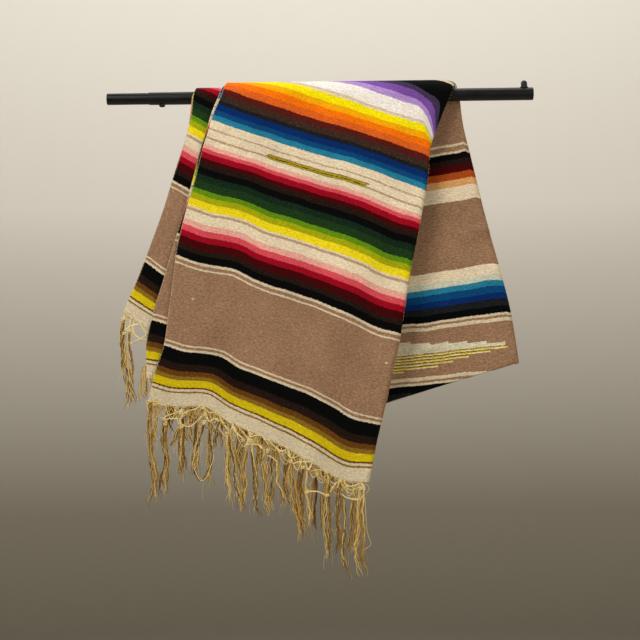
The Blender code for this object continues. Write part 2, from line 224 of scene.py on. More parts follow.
def soft_waves(x, depth, front):
    """How far the soft folds and the finer creases push every layer of one side out."""
    lean = x + WAVE_LEAN * depth if front else x - WAVE_LEAN * depth
    turn = 2.0 * math.pi * lean / (FRONT_WAVE_LENGTH if front else BACK_WAVE_LENGTH)
    size = FRONT_WAVE_SIZE if front else BACK_WAVE_SIZE
    share = ease(depth / FULL_WAVE_DEPTH)
    wave = size * share * (1.0 + np.sin(turn) + 0.35 * np.sin(2.3 * turn + 0.8))
    near = ease(depth / 140.0)
    fine = 0.9 * np.sin(x / 23.0 + depth / 61.0 + 1.3 * np.sin(depth / 87.0))
    fine = fine + 0.7 * np.sin(depth / 26.0 - x / 140.0 + 1.6 * np.sin(x / 71.0))
    return wave + near * fine + ease(depth / 30.0) * creases(x, depth, front)


# Main creases: x, depth, length along the crease, width, angle in degrees from level, height.
# Those in front follow the photograph, those behind are of the same kind.
FRONT_CREASES = (
    (206.0, 50.0, 62.0, 8.0, -75.0, 4.0),
    (60.0, 96.0, 150.0, 15.0, -22.0, 2.2),
    (-96.0, 124.0, 110.0, 16.0, -14.0, -2.0),
    (-40.0, 235.0, 170.0, 20.0, -20.0, 2.4),
    (118.0, 300.0, 120.0, 18.0, 62.0, 2.6),
    (-190.0, 330.0, 150.0, 17.0, 76.0, -2.2),
    (-60.0, 430.0, 190.0, 22.0, -24.0, -2.2),
    (-250.0, 500.0, 120.0, 18.0, 68.0, 3.0),
    (20.0, 560.0, 150.0, 20.0, -30.0, 2.8),
    (-160.0, 600.0, 130.0, 18.0, 40.0, -2.6),
    (-300.0, 420.0, 140.0, 14.0, 80.0, 2.2),
    (60.0, 650.0, 110.0, 16.0, 58.0, 2.6),
)
BACK_CREASES = (
    (318.0, 276.0, 40.0, 8.0, 22.0, -7.0),
    (306.0, 258.0, 36.0, 8.0, 30.0, 4.0),
    (218.0, 503.0, 44.0, 8.0, 10.0, -6.0),
    (290.0, 240.0, 120.0, 15.0, 34.0, 2.2),
    (120.0, 150.0, 160.0, 20.0, 12.0, 2.4),
    (-20.0, 260.0, 170.0, 20.0, 24.0, -2.4),
    (160.0, 440.0, 180.0, 20.0, 8.0, 2.8),
    (-60.0, 470.0, 150.0, 18.0, 62.0, 2.6),
    (320.0, 420.0, 110.0, 16.0, 56.0, 2.4),
    (40.0, 560.0, 160.0, 17.0, 16.0, -2.2),
)


def creases(x, depth, front):
    height = 0.0
    for at_x, at_depth, length, width, angle, size in FRONT_CREASES if front else BACK_CREASES:
        turn = math.radians(angle)
        along = (x - at_x) * math.cos(turn) - (depth - at_depth) * math.sin(turn)
        across = (x - at_x) * math.sin(turn) + (depth - at_depth) * math.cos(turn)
        bowed = across - along * along / (4.0 * length)
        height = height + size * np.exp(-(along / length) ** 2 * 2.0 - (bowed / width) ** 2)
    return height


def hanging(x, depth, level, front):
    out = FIRST_RADIUS + layer_pitch(depth) * level + soft_waves(x, depth, front)
    x, out, depth = np.broadcast_arrays(x, out, depth)
    return np.stack((x, -out if front else out, -depth), axis=-1)


def across_web(left, fold, pitch, loose, column, spread, side):
    """X and level at a column: 0 to 1 is flat cloth and 1 to 2 is the roll of the fold."""
    looser = spread - INNER_SPREAD
    reach = spread * pitch + loose * looser
    centre = fold - SOLID_WALL / 2 - MIDDLE_LEVEL * pitch
    centre = centre - loose * mix(1.0, INNER_FOLD_SHARE, 1.0 - looser)
    angle = math.pi / 2 * np.maximum(column - 1.0, 0.0)
    level = MIDDLE_LEVEL + side * (spread * np.cos(angle) + SEAM_GAP / 2 / pitch)
    return mix(left, centre, np.minimum(column, 1.0)) + reach * np.sin(angle), level


def front_leg(web, level, share, column):
    drop = read_table(HEM_TABLE, LEVEL_COLUMN[level], np.minimum(column, 1.0))
    depth = drop * (1.0 - share)
    left = read_table(FRONT_TABLE, LEVEL_COLUMN[level], depth)
    fold = read_table(FRONT_TABLE, FOLD_COLUMN, depth)
    loose = FRONT_LOOSE_ROLL * (1.0 - ease(depth / ROLL_CLOSES_AT))
    spread = abs(level - MIDDLE_LEVEL)
    x, height = across_web(left, fold, layer_pitch(depth), loose, column, spread, web[3])
    return hanging(x, depth, height, True)


def over_rail(web, level, share, column):
    left = mix(read_table(FRONT_TABLE, LEVEL_COLUMN[level], 0.0),
               read_table(BACK_TABLE, web[4], 0.0), share)
    fold = mix(FRONT_TABLE[0, FOLD_COLUMN], BACK_TABLE[0, 3], share)
    loose = mix(FRONT_LOOSE_ROLL, BACK_LOOSE_ROLL, share)
    spread = abs(level - MIDDLE_LEVEL)
    x, height = across_web(left, fold, PITCH_AT_RAIL, loose, column, spread, web[3])
    radius = FIRST_RADIUS + PITCH_AT_RAIL * height
    angle = math.pi * share
    x, radius, angle = np.broadcast_arrays(x, radius, angle)
    return np.stack((x, -radius * np.cos(angle), radius * np.sin(angle)), axis=-1)


def back_leg(web, depth, spread, column):
    left = read_table(BACK_TABLE, web[4], depth)
    fold = read_table(BACK_TABLE, 3, depth)
    loose = BACK_LOOSE_ROLL * (1.0 - ease(depth / ROLL_CLOSES_AT))
    x, height = across_web(left, fold, layer_pitch(depth), loose, column, spread, web[3])
    return hanging(x, depth, height, False)


def web_stretch(web, stretch, share, column):
    """Middle of the cloth on one of the seven stretches from the first hem to the second."""
    drop = read_table(LOOP_TABLE, web[4], np.minimum(column, 1.0))
    loop = drop - SOLID_WALL / 2 - layer_pitch(drop) / 2
    if stretch == 0:
        return front_leg(web, web[1], share, column)
    if stretch == 1:
        return over_rail(web, web[1], share, column)
    if stretch == 2:
        return back_leg(web, loop * share, OUTER_SPREAD, column)
    if stretch == 3:
        turn = math.pi * share
        depth = loop + layer_pitch(loop) / 2 * np.sin(turn)
        return back_leg(web, depth, 1.0 + INNER_SPREAD * np.cos(turn), column)
    if stretch == 4:
        return back_leg(web, loop * (1.0 - share), INNER_SPREAD, column)
    if stretch == 5:
        return over_rail(web, web[2], 1.0 - share, column)
    return front_leg(web, web[2], 1.0 - share, column)


def web_surface(web, rows, columns):
    """Points of the middle of the cloth at every row and column."""
    points = np.zeros((len(rows), len(columns), 3))
    stretches = np.minimum(rows.astype(int), 6)
    for stretch in range(7):
        chosen = stretches == stretch
        if chosen.any():
            share = (rows[chosen] - stretch)[:, None]
            points[chosen] = web_stretch(web, stretch, share, columns[None, :])
    return points


ROW_COUNTS = (116, 18, 98, 10, 94, 14, 100)
FLAT_COLUMNS = 72
ROLL_COLUMNS = 14
# Rounded edges take two more rows and columns, at these distances in millimetres.
EDGE_STEPS = (0.0, 0.35, 1.1)
# About how long the first and the last stretch are, and how wide the flat cloth and its roll.
FIRST_STRETCH = 680.0
LAST_STRETCH = 610.0
FLAT_WIDTH = 440.0
ROLL_WIDTH = 14.0


def cloth_rows():
    rows = []
    for stretch, count in enumerate(ROW_COUNTS):
        for step in range(count):
            rows.append(stretch + step / count)
    first = [step / FIRST_STRETCH for step in EDGE_STEPS]
    last = [7.0 - step / LAST_STRETCH for step in reversed(EDGE_STEPS)]
    return np.array(first + rows[1:] + last)


def cloth_columns():
    flat = [step / FLAT_COLUMNS for step in range(1, FLAT_COLUMNS)]
    roll = [1.0 + step / ROLL_COLUMNS for step in range(ROLL_COLUMNS)]
    first = [step / FLAT_WIDTH for step in EDGE_STEPS]
    last = [2.0 - step / ROLL_WIDTH for step in reversed(EDGE_STEPS)]
    return np.array(first + flat + roll + last)


def lengths_along(points, axis):
    """Distance travelled along rows (0) or columns (1)."""
    steps = np.linalg.norm(np.diff(points, axis=axis), axis=-1)
    shape = list(steps.shape)
    shape[axis] = 1
    return np.concatenate((np.zeros(shape), np.cumsum(steps, axis=axis)), axis=axis)


# Where the weave's length falls on the form, in millimetres from the first hem: over the rail at
# the left and right edge, at the loop, and over the rail on the way back.
ANCHORS = {
    "left_web": ((666.0, 801.0), (1381.0, 1370.0), (2046.0, 1951.0)),
    "right_web": ((706.0, 801.0), (1468.0, 1370.0), (2160.0, 1951.0)),
}
ANCHOR_ROWS = (0.0, 1.5, 3.5, 5.5, 7.0)
# The weft was beaten a little unevenly: how far the stripes bow from straight across each web.
SHED_BOW = np.array([(0.0, 0.0), (0.25, 5.0), (0.5, 2.0), (0.8, -5.0), (1.0, 2.0)])
BOW_GROWS_OVER = 110.0
BOW_FADES_FROM = 560.0
BOW_FADES_OVER = 160.0
# The ridge of the loose roll in front, from the rail down: beyond it the stripes drop steeply.
RIDGE_TOP = 194.0
RIDGE_SLANT = 0.27
RIDGE_DRAG = 0.35
DRAG_GROWTH = 0.00052
DRAG_DEPTH = 90.0
# Behind, the roll pulls the stripes level. The two ways meet over the rail.
ROLL_PULL = 11.0
ROLL_PULL_DEPTH = 60.0
MEET_FROM = 12.0
MEET_OVER = 26.0


def weave_place(web, points, rows, columns):
    """Where each point lies on the flat web, in metres."""
    across = lengths_along(points, 1)
    across = across / across[:, -1:]
    travelled = lengths_along(points, 0)
    share = np.minimum(columns, 1.0)
    marks = [np.zeros(len(columns))]
    for left, right in ANCHORS[web[0]]:
        marks.append(mix(left, right, share))
    marks.append(np.full(len(columns), WEB_LENGTH * 1000.0))
    stops = [np.argmin(np.abs(rows - row)) for row in ANCHOR_ROWS]
    along = np.zeros(travelled.shape)
    for part in range(4):
        first, last = stops[part], stops[part + 1]
        span = travelled[last] - travelled[first]
        part_share = (travelled[first:last + 1] - travelled[first]) / span
        along[first:last + 1] = mix(marks[part], marks[part + 1], part_share)
    # The loose roll by the rail drags the stripes down its far side.
    rolled = ease(np.maximum(columns - 1.0, 0.0))[None, :]
    depth = -points[..., 2]
    beyond_ridge = np.maximum(points[..., 0] - RIDGE_TOP - RIDGE_SLANT * depth, 0.0)
    steep = (RIDGE_DRAG + DRAG_GROWTH * np.clip(depth, 0.0, DRAG_DEPTH) ** 2) * beyond_ridge
    level_out = ROLL_PULL * rolled * (1.0 - ease(depth / ROLL_PULL_DEPTH))
    first_half = (rows < 3.5)[:, None]
    round_rail = ease((MEET_FROM - points[..., 1]) / MEET_OVER)
    drag = mix(level_out, steep, round_rail)
    along = along + np.where(first_half, drag, -drag)
    from_hem = np.where(first_half, along, WEB_LENGTH * 1000.0 - along)
    bow = read_table(SHED_BOW, 1, across) * ease(from_hem / BOW_GROWS_OVER)
    bow = bow * (1.0 - ease((from_hem - BOW_FADES_FROM) / BOW_FADES_OVER))
    along = along + np.where(first_half, bow, -bow)
    uneven = 0.5 * np.sin(across * 23.0 + along / 64.0) + 0.3 * np.sin(across * 51.0 - along / 37.0)
    return np.stack((across * WEB_WIDTH, (along + uneven) / 1000.0), axis=-1)


def add_mesh(name, vertices, faces, material, uv=None):
    """A smooth mesh piece at the origin, with one UV pair for each vertex."""
    mesh = bpy.data.meshes.new(name)
    mesh.from_pydata(vertices.tolist(), [], faces)
    if uv is not None:
        layer = mesh.uv_layers.new(name="weave")
        corners = np.zeros(len(mesh.loops), dtype=np.int64)
        mesh.loops.foreach_get("vertex_index", corners)
        layer.data.foreach_set("uv", uv[corners].astype(np.float32).ravel())
    mesh.materials.append(material)
    mesh.shade_smooth()
    piece = bpy.data.objects.new(name, mesh)
    bpy.context.collection.objects.link(piece)
    return piece


def add_web(web, material):
    rows = cloth_rows()
    columns = cloth_columns()
    points = web_surface(web, rows, columns)
    along = np.gradient(points, axis=0)
    across = np.gradient(points, axis=1)
    normals = np.cross(along, across)
    normals /= np.linalg.norm(normals, axis=-1, keepdims=True)
    place = weave_place(web, points, rows, columns)
    radius = WALL / 2
    # Half the wall thins to nothing over the rounded edge.
    half = np.full(points.shape[:2], radius)
    for index, step in enumerate(EDGE_STEPS[:2]):
        thin = radius * math.sqrt(1.0 - (1.0 - step / EDGE_STEPS[2]) ** 2)
        for edge in (index, -1 - index):
            half[edge, :] = np.minimum(half[edge, :], thin)
            half[:, edge] = np.minimum(half[:, edge], thin)
    upper = points + normals * half[..., None]
    lower = points - normals * half[..., None]
    count_rows, count_columns = points.shape[:2]
    upper_index = np.arange(count_rows * count_columns).reshape(count_rows, count_columns)
    lower_index = upper_index + count_rows * count_columns
    lower_index[0, :] = upper_index[0, :]
    lower_index[-1, :] = upper_index[-1, :]
    lower_index[:, 0] = upper_index[:, 0]
    lower_index[:, -1] = upper_index[:, -1]
    faces = []
    for index, turned in ((upper_index, False), (lower_index, True)):
        quads = np.stack((index[:-1, :-1], index[1:, :-1], index[1:, 1:], index[:-1, 1:]), axis=-1)
        quads = quads.reshape(-1, 4)
        faces.append(quads[:, ::-1] if turned else quads)
    faces = np.concatenate(faces)
    vertices = np.concatenate((upper.reshape(-1, 3), lower.reshape(-1, 3))) / 1000.0
    uv = np.concatenate((place.reshape(-1, 2), place.reshape(-1, 2)))
    used = np.unique(faces)
    renumber = np.zeros(len(vertices), dtype=np.int64)
    renumber[used] = np.arange(len(used))
    faces = renumber[faces].tolist()
    return add_mesh(web[0] + "_cloth", vertices[used], faces, material, uv[used])


# Wool yarns, named for their dyes. A weaver has a few dozen, and stripes share them.
YARNS = {
    "black": "#060606", "soft_black": "#181c20", "brown_black": "#22140e", "dark_brown": "#3a2820",
    "chestnut": "#663e10", "bronze": "#8a6820", "undyed": "#9a765a", "tan": "#b89c7c",
    "natural": "#dac8a6", "cream": "#ecd8b6", "white": "#faf0e6", "pearl": "#d4d4bc",
    "maroon": "#440406", "oxblood": "#581814", "crimson": "#9c081e", "coral": "#dc4e58",
    "salmon": "#ecaa98", "rust": "#aa4818", "amber": "#dca264", "deep_orange": "#e4641e",
    "orange": "#ff7808", "gold": "#ffb008", "lemon": "#f4dc1c", "sun": "#ffec08",
    "mustard": "#d8be10", "olive": "#a8aa0e", "leaf": "#629012", "forest": "#1c3818",
    "bottle": "#102818", "turquoise": "#28809c", "blue": "#0c487a", "navy": "#082c68",
    "lilac": "#b490d0", "purple": "#7c50a2", "aubergine": "#403450",
}
# Stripes from the hem to the middle of the serape: width in millimetres, yarn, heather.
# The second half of the web mirrors them.
STRIPES = (
    (26.0, "natural", 0.1), (3.0, "bronze", 0.2), (5.0, "natural", 0.1), (4.0, "chestnut", 0.2),
    (15.0, "mustard", 0.1), (8.0, "bronze", 0.2), (10.0, "chestnut", 0.2),
    (16.0, "brown_black", 0.1), (26.0, "black", 0.0),
    (4.0, "natural", 0.1), (5.0, "undyed", 1.0), (4.0, "natural", 0.1), (150.0, "undyed", 1.0),
    (4.0, "natural", 0.1), (6.0, "undyed", 1.0), (5.0, "natural", 0.1),
    (16.0, "black", 0.0), (10.0, "brown_black", 0.1), (14.0, "maroon", 0.0),
    (13.0, "crimson", 0.0), (12.0, "coral", 0.0), (11.0, "salmon", 0.0), (19.0, "cream", 0.1),
    (4.0, "tan", 0.1), (4.0, "cream", 0.1), (15.0, "lemon", 0.0), (12.0, "olive", 0.0),
    (11.0, "leaf", 0.0), (16.0, "forest", 0.1), (12.0, "bottle", 0.1), (13.0, "black", 0.0),
    (10.0, "brown_black", 0.1), (9.0, "maroon", 0.0), (11.0, "crimson", 0.0),
    (8.0, "coral", 0.0), (9.0, "salmon", 0.0), (11.0, "cream", 0.1), (3.0, "tan", 0.1),
    (15.0, "cream", 0.1), (3.0, "tan", 0.1), (16.0, "cream", 0.1), (11.0, "turquoise", 0.0),
    (10.0, "blue", 0.0), (12.0, "navy", 0.0), (8.0, "soft_black", 0.1),
    (13.0, "dark_brown", 0.3), (12.0, "oxblood", 0.1), (14.0, "deep_orange", 0.3),
    (13.0, "orange", 0.0), (12.0, "gold", 0.0), (15.0, "sun", 0.0), (4.0, "cream", 0.1),
    (4.0, "natural", 0.1), (26.0, "white", 0.0), (13.0, "lilac", 0.0), (15.0, "purple", 0.0),
    (11.0, "aubergine", 0.1), (46.0, "black", 0.0),
    (6.0, "natural", 0.1), (6.0, "undyed", 1.0), (5.0, "natural", 0.1), (100.0, "undyed", 1.0),
    (6.0, "natural", 0.1), (8.0, "undyed", 1.0), (5.0, "natural", 0.1),
    (12.0, "black", 0.0), (12.0, "brown_black", 0.1), (13.0, "maroon", 0.0), (13.0, "rust", 0.1),
    (14.0, "amber", 0.1), (28.0, "cream", 0.1), (135.0, "undyed", 1.0),
    (19.0, "cream", 0.1), (12.0, "pearl", 0.1), (13.0, "turquoise", 0.0), (13.0, "blue", 0.0),
    (12.0, "navy", 0.0), (14.0, "soft_black", 0.1), (12.0, "black", 0.0),
    (6.0, "natural", 0.1), (5.0, "undyed", 1.0), (5.0, "natural", 0.1), (60.0, "undyed", 1.0),
)
MOST_STOPS = 28

wool = bpy.data.materials.new("weft_faced_wool")
wool.use_nodes = True
tree = wool.node_tree
shader = tree.nodes["Principled BSDF"]
weave = add_node(tree, "ShaderNodeUVMap", uv_map="weave").outputs["UV"]
split = add_node(tree, "ShaderNodeSeparateXYZ", {"Vector": weave})
across = split.outputs["X"]
along = split.outputs["Y"]
# Each pick of weft wanders by about a millimetre, so stripes meet in short steps.
picks_place = add_node(tree, "ShaderNodeMapping", {"Vector": weave, "Scale": (240.0, 700.0, 1.0)})
picks = add_node(tree, "ShaderNodeTexNoise", {
    "Vector": picks_place.outputs["Vector"], "Scale": 1.0, "Detail": 2.0})
wander = add_node(tree, "ShaderNodeMapRange", {
    "Value": picks.outputs["Fac"], "From Min": 0.25, "From Max": 0.75,
    "To Min": -0.0012, "To Max": 0.0012})
woven = add_node(tree, "ShaderNodeMath", {0: along, 1: wander.outputs["Result"]}, operation="ADD")
from_far = add_node(tree, "ShaderNodeMath", {
    0: WEB_LENGTH, 1: woven.outputs["Value"]}, operation="SUBTRACT")
from_hem = add_node(tree, "ShaderNodeMath", {
    0: woven.outputs["Value"], 1: from_far.outputs["Value"]}, operation="MINIMUM").outputs["Value"]
stripe_colour = None
stripe_heather = None
start = 0.0
for first in range(0, len(STRIPES), MOST_STOPS):
    part = STRIPES[first:first + MOST_STOPS]
    length = sum(width for width, _, _ in part)
    place = add_node(tree, "ShaderNodeMapRange", {
        "Value": from_hem, "From Min": start / 1000.0, "From Max": (start + length) / 1000.0})
    ramp = add_node(tree, "ShaderNodeValToRGB", {"Fac": place.outputs["Result"]})
    ramp.color_ramp.interpolation = "CONSTANT"
    at = 0.0
    for index, (width, dye, heather) in enumerate(part):
        if index < 2:
            stop = ramp.color_ramp.elements[index]
            stop.position = at / length
        else:
            stop = ramp.color_ramp.elements.new(at / length)
        stop.color = (*linear(YARNS[dye])[:3], heather)
        at += width
    if stripe_colour is None:
        stripe_colour = ramp.outputs["Color"]
        stripe_heather = ramp.outputs["Alpha"]
    else:
        beyond = add_node(tree, "ShaderNodeMath", {
            0: from_hem, 1: start / 1000.0}, operation="GREATER_THAN").outputs["Value"]
        stripe_colour = add_node(tree, "ShaderNodeMixRGB", {
            "Fac": beyond, "Color1": stripe_colour, "Color2": ramp.outputs["Color"]}).outputs["Color"]
        stripe_heather = add_node(tree, "ShaderNodeMixRGB", {
            "Fac": beyond, "Color1": stripe_heather, "Color2": ramp.outputs["Alpha"]}).outputs["Color"]
    start += length


# A slim dart is woven into the cream band of each rainbow, between its two tan lines.
DART_LOW = 0.5315
DART_HIGH = 0.5415
dart_place = add_node(tree, "ShaderNodeMapRange", {
    "Value": from_hem, "From Min": DART_LOW, "From Max": DART_HIGH}, clamp=False).outputs["Result"]
dart = add_node(tree, "ShaderNodeValToRGB", {"Fac": dart_place})
dart.color_ramp.interpolation = "CONSTANT"
for index, (stop_place, hex_colour) in enumerate((
        (0.0, "#5c4a12"), (0.10, "#b09a1c"), (0.36, "#120d04"), (0.50, "#b8a01e"),
        (0.76, "#8c6d3c"), (0.9, "#b08f68"))):
    ramp_stops = dart.color_ramp.elements
    stop = ramp_stops[index] if index < 2 else ramp_stops.new(stop_place)
    stop.position = stop_place
    stop.color = linear(hex_colour)
off_middle = add_node(tree, "ShaderNodeMath", {0: dart_place, 1: 0.5}, operation="SUBTRACT")
pointed = add_node(tree, "ShaderNodeMath", {0: off_middle.outputs["Value"]}, operation="ABSOLUTE")
left_end = add_node(tree, "ShaderNodeMath", {
    0: pointed.outputs["Value"], 1: 0.012, 2: 0.133}, operation="MULTIPLY_ADD")
right_end = add_node(tree, "ShaderNodeMath", {
    0: dart_place, 1: 0.014, 2: 0.336}, operation="MULTIPLY_ADD")
dart_mask = 1.0
for first_value, second_value in (
        (across, left_end.outputs["Value"]), (right_end.outputs["Value"], across),
        (dart_place, 0.0), (1.0, dart_place)):
    inside = add_node(tree, "ShaderNodeMath", {
        0: first_value, 1: second_value}, operation="GREATER_THAN")
    dart_mask = add_node(tree, "ShaderNodeMath", {
        0: dart_mask, 1: inside.outputs["Value"]}, operation="MULTIPLY").outputs["Value"]
cloth_colour = add_node(tree, "ShaderNodeMixRGB", {
    "Fac": dart_mask, "Color1": stripe_colour, "Color2": dart.outputs["Color"]}).outputs["Color"]

# A long lens with stepped ends lies across the middle of each web: white with saw teeth towards
# the first hem and thin yellow lines towards the second.
past_middle = add_node(tree, "ShaderNodeMath", {
    0: woven.outputs["Value"], 1: WEB_LENGTH / 2}, operation="SUBTRACT").outputs["Value"]
from_centre = add_node(tree, "ShaderNodeMath", {
    0: across, 1: WEB_WIDTH / 2}, operation="SUBTRACT")
sideways = add_node(tree, "ShaderNodeMath", {
    0: from_centre.outputs["Value"]}, operation="ABSOLUTE").outputs["Value"]
sideways_share = add_node(tree, "ShaderNodeMath", {
    0: sideways, 1: 4.0}, operation="MULTIPLY").outputs["Value"]
LENS_HEIGHT = 0.040
lens_heights = []
for steps in (
        ((0.0, 0.026), (0.038, 0.0222), (0.072, 0.0184), (0.106, 0.0146), (0.140, 0.0108),
         (0.174, 0.0065), (0.208, 0.0)),
        ((0.0, 0.036), (0.016, 0.030), (0.080, 0.024), (0.108, 0.018), (0.138, 0.012),
         (0.178, 0.006), (0.210, 0.0))):
    ramp = add_node(tree, "ShaderNodeValToRGB", {"Fac": sideways_share})
    ramp.color_ramp.interpolation = "CONSTANT"
    for index, (reach, height) in enumerate(steps):
        ramp_stops = ramp.color_ramp.elements
        stop = ramp_stops[index] if index < 2 else ramp_stops.new(reach * 4.0)
        stop.position = reach * 4.0
        level_value = height / LENS_HEIGHT
        stop.color = (level_value, level_value, level_value, 1.0)
    lens_heights.append(add_node(tree, "ShaderNodeMath", {
        0: ramp.outputs["Color"], 1: LENS_HEIGHT}, operation="MULTIPLY").outputs["Value"])
# Each tooth leans out: the white rises by a millimetre just before its step.
tooth = add_node(tree, "ShaderNodeMath", {0: sideways, 1: 0.038}, operation="SUBTRACT")
tooth = add_node(tree, "ShaderNodeMath", {
    0: tooth.outputs["Value"], 1: 1.0 / 0.034}, operation="MULTIPLY")
tooth = add_node(tree, "ShaderNodeMath", {0: tooth.outputs["Value"]}, operation="FRACT")
tooth = add_node(tree, "ShaderNodeMath", {0: tooth.outputs["Value"], 1: 7.0}, operation="POWER")
white_top = add_node(tree, "ShaderNodeMath", {
    0: tooth.outputs["Value"], 1: 0.0012, 2: lens_heights[0]}, operation="MULTIPLY_ADD")
up = add_node(tree, "ShaderNodeMath", {0: past_middle, 1: -1.0}, operation="MULTIPLY")
before_middle = add_node(tree, "ShaderNodeMath", {0: 0.0, 1: past_middle}, operation="GREATER_THAN")
white_mask = add_node(tree, "ShaderNodeMath", {
    0: white_top.outputs["Value"], 1: up.outputs["Value"]}, operation="GREATER_THAN")
white_mask = add_node(tree, "ShaderNodeMath", {
    0: white_mask.outputs["Value"], 1: before_middle.outputs["Value"]}, operation="MULTIPLY")
in_reach = add_node(tree, "ShaderNodeMath", {0: 0.208, 1: sideways}, operation="GREATER_THAN")
white_mask = add_node(tree, "ShaderNodeMath", {
    0: white_mask.outputs["Value"], 1: in_reach.outputs["Value"]}, operation="MULTIPLY")
cloth_colour = add_node(tree, "ShaderNodeMixRGB", {
    "Fac": white_mask.outputs["Value"], "Color1": cloth_colour,
    "Color2": linear("#ddd3b4")}).outputs["Color"]
line_place = add_node(tree, "ShaderNodeMath", {
    0: past_middle, 1: 1.0 / 0.006}, operation="MULTIPLY")
line_place = add_node(tree, "ShaderNodeMath", {0: line_place.outputs["Value"]}, operation="FRACT")
lines = add_node(tree, "ShaderNodeValToRGB", {"Fac": line_place.outputs["Value"]})
lines.color_ramp.interpolation = "CONSTANT"
for index, (stop_place, hex_colour) in enumerate((
        (0.0, "#5e4a10"), (0.22, "#d2b32c"), (0.60, "#efe2b6"), (0.86, "#8a7420"))):
    ramp_stops = lines.color_ramp.elements
    stop = ramp_stops[index] if index < 2 else ramp_stops.new(stop_place)
    stop.position = stop_place
    stop.color = linear(hex_colour)
line_mask = add_node(tree, "ShaderNodeMath", {
    0: lens_heights[1], 1: past_middle}, operation="GREATER_THAN")
after_middle = add_node(tree, "ShaderNodeMath", {0: past_middle, 1: 0.0}, operation="GREATER_THAN")
line_mask = add_node(tree, "ShaderNodeMath", {
    0: line_mask.outputs["Value"], 1: after_middle.outputs["Value"]}, operation="MULTIPLY")
cloth_colour = add_node(tree, "ShaderNodeMixRGB", {
    "Fac": line_mask.outputs["Value"], "Color1": cloth_colour,
    "Color2": lines.outputs["Color"]}).outputs["Color"]

# The selvage cord shows light weft loops, one every 7 mm.
dashes = add_node(tree, "ShaderNodeMath", {0: along, 1: 2.0 * math.pi / 0.007}, operation="MULTIPLY")
dashes = add_node(tree, "ShaderNodeMath", {0: dashes.outputs["Value"]}, operation="SINE")
dashes = add_node(tree, "ShaderNodeMath", {
    0: dashes.outputs["Value"], 1: -0.7}, operation="GREATER_THAN")
at_edge = add_node(tree, "ShaderNodeMath", {0: 0.0016, 1: across}, operation="GREATER_THAN")
dashes = add_node(tree, "ShaderNodeMath", {
    0: dashes.outputs["Value"], 1: at_edge.outputs["Value"]}, operation="MULTIPLY")
dashes = add_node(tree, "ShaderNodeMath", {0: dashes.outputs["Value"], 1: 0.4}, operation="MULTIPLY")
cloth_colour = add_node(tree, "ShaderNodeMixRGB", {
    "Fac": dashes.outputs["Value"], "Color1": cloth_colour,
    "Color2": linear("#d8c4a0")}).outputs["Color"]

# Heather: light and dark fibres carded together, in streaks along the weft. The undyed beige has
# the most of it and the plain dyed stripes only a little.
streak_place = add_node(tree, "ShaderNodeMapping", {"Vector": weave, "Scale": (45.0, 600.0, 1.0)})
streaks = add_node(tree, "ShaderNodeTexNoise", {
    "Vector": streak_place.outputs["Vector"], "Scale": 1.0, "Detail": 4.0, "Roughness": 0.7})
grain_place = add_node(tree, "ShaderNodeMapping", {
    "Vector": weave, "Scale": (170.0, 460.0, 1.0), "Rotation": (0.0, 0.0, 0.05)})
grain = add_node(tree, "ShaderNodeTexNoise", {
    "Vector": grain_place.outputs["Vector"], "Scale": 1.0, "Detail": 2.0})
fibres = add_node(tree, "ShaderNodeMath", {
    0: streaks.outputs["Fac"], 1: grain.outputs["Fac"]}, operation="ADD")
fibres = add_node(tree, "ShaderNodeMapRange", {
    "Value": fibres.outputs["Value"], "From Min": 0.72, "From Max": 1.28,
    "To Min": -1.0, "To Max": 1.0})
amount = add_node(tree, "ShaderNodeMapRange", {
    "Value": stripe_heather, "To Min": 0.28, "To Max": 0.38})
shade = add_node(tree, "ShaderNodeMath", {
    0: fibres.outputs["Result"], 1: amount.outputs["Result"], 2: 1.0}, operation="MULTIPLY_ADD")
# Faint darker patches a few centimetres across lie at random over the cloth.
patches = add_node(tree, "ShaderNodeTexNoise", {
    "Vector": weave, "Scale": 11.0, "Detail": 3.0, "Roughness": 0.6})
patch_darkening = add_node(tree, "ShaderNodeMapRange", {
    "Value": patches.outputs["Fac"], "From Min": 0.3, "From Max": 0.7,
    "To Min": 0.90, "To Max": 1.07})
shade = add_node(tree, "ShaderNodeMath", {
    0: shade.outputs["Value"], 1: patch_darkening.outputs["Result"]}, operation="MULTIPLY")
# Sandy fibres show through the pinkish brown of the beige.
sandy = add_node(tree, "ShaderNodeMapRange", {
    "Value": grain.outputs["Fac"], "From Min": 0.5, "From Max": 0.72, "To Min": 0.0, "To Max": 0.22})
sandy = add_node(tree, "ShaderNodeMath", {
    0: sandy.outputs["Result"], 1: stripe_heather}, operation="MULTIPLY")
cloth_colour = add_node(tree, "ShaderNodeMixRGB", {
    "Fac": sandy.outputs["Value"], "Color1": cloth_colour,
    "Color2": linear("#bd9a68")}).outputs["Color"]
cloth_colour = add_node(tree, "ShaderNodeHueSaturation", {
    "Value": shade.outputs["Value"], "Color": cloth_colour}).outputs["Color"]

# Weft-faced ribs run along the warp and the picks of weft cross them. The real ones are about
# 3 mm and 1 mm apart, and both are drawn a little coarser so that they show.
ribs = add_node(tree, "ShaderNodeTexWave", {
    "Vector": weave, "Scale": 0.31416 / 0.0044, "Distortion": 0.6, "Detail": 1.0},
    bands_direction="X")
pick_rows = add_node(tree, "ShaderNodeTexWave", {
    "Vector": weave, "Scale": 0.31416 / 0.0024, "Distortion": 1.2, "Detail": 1.0},
    bands_direction="Y")
height = add_node(tree, "ShaderNodeMath", {
    0: ribs.outputs["Fac"], 1: 0.6, 2: pick_rows.outputs["Fac"]}, operation="MULTIPLY_ADD")
height = add_node(tree, "ShaderNodeMath", {
    0: streaks.outputs["Fac"], 1: 1.6, 2: height.outputs["Value"]}, operation="MULTIPLY_ADD")
relief = add_node(tree, "ShaderNodeBump", {
    "Height": height.outputs["Value"], "Strength": 0.75, "Distance": 0.0007})
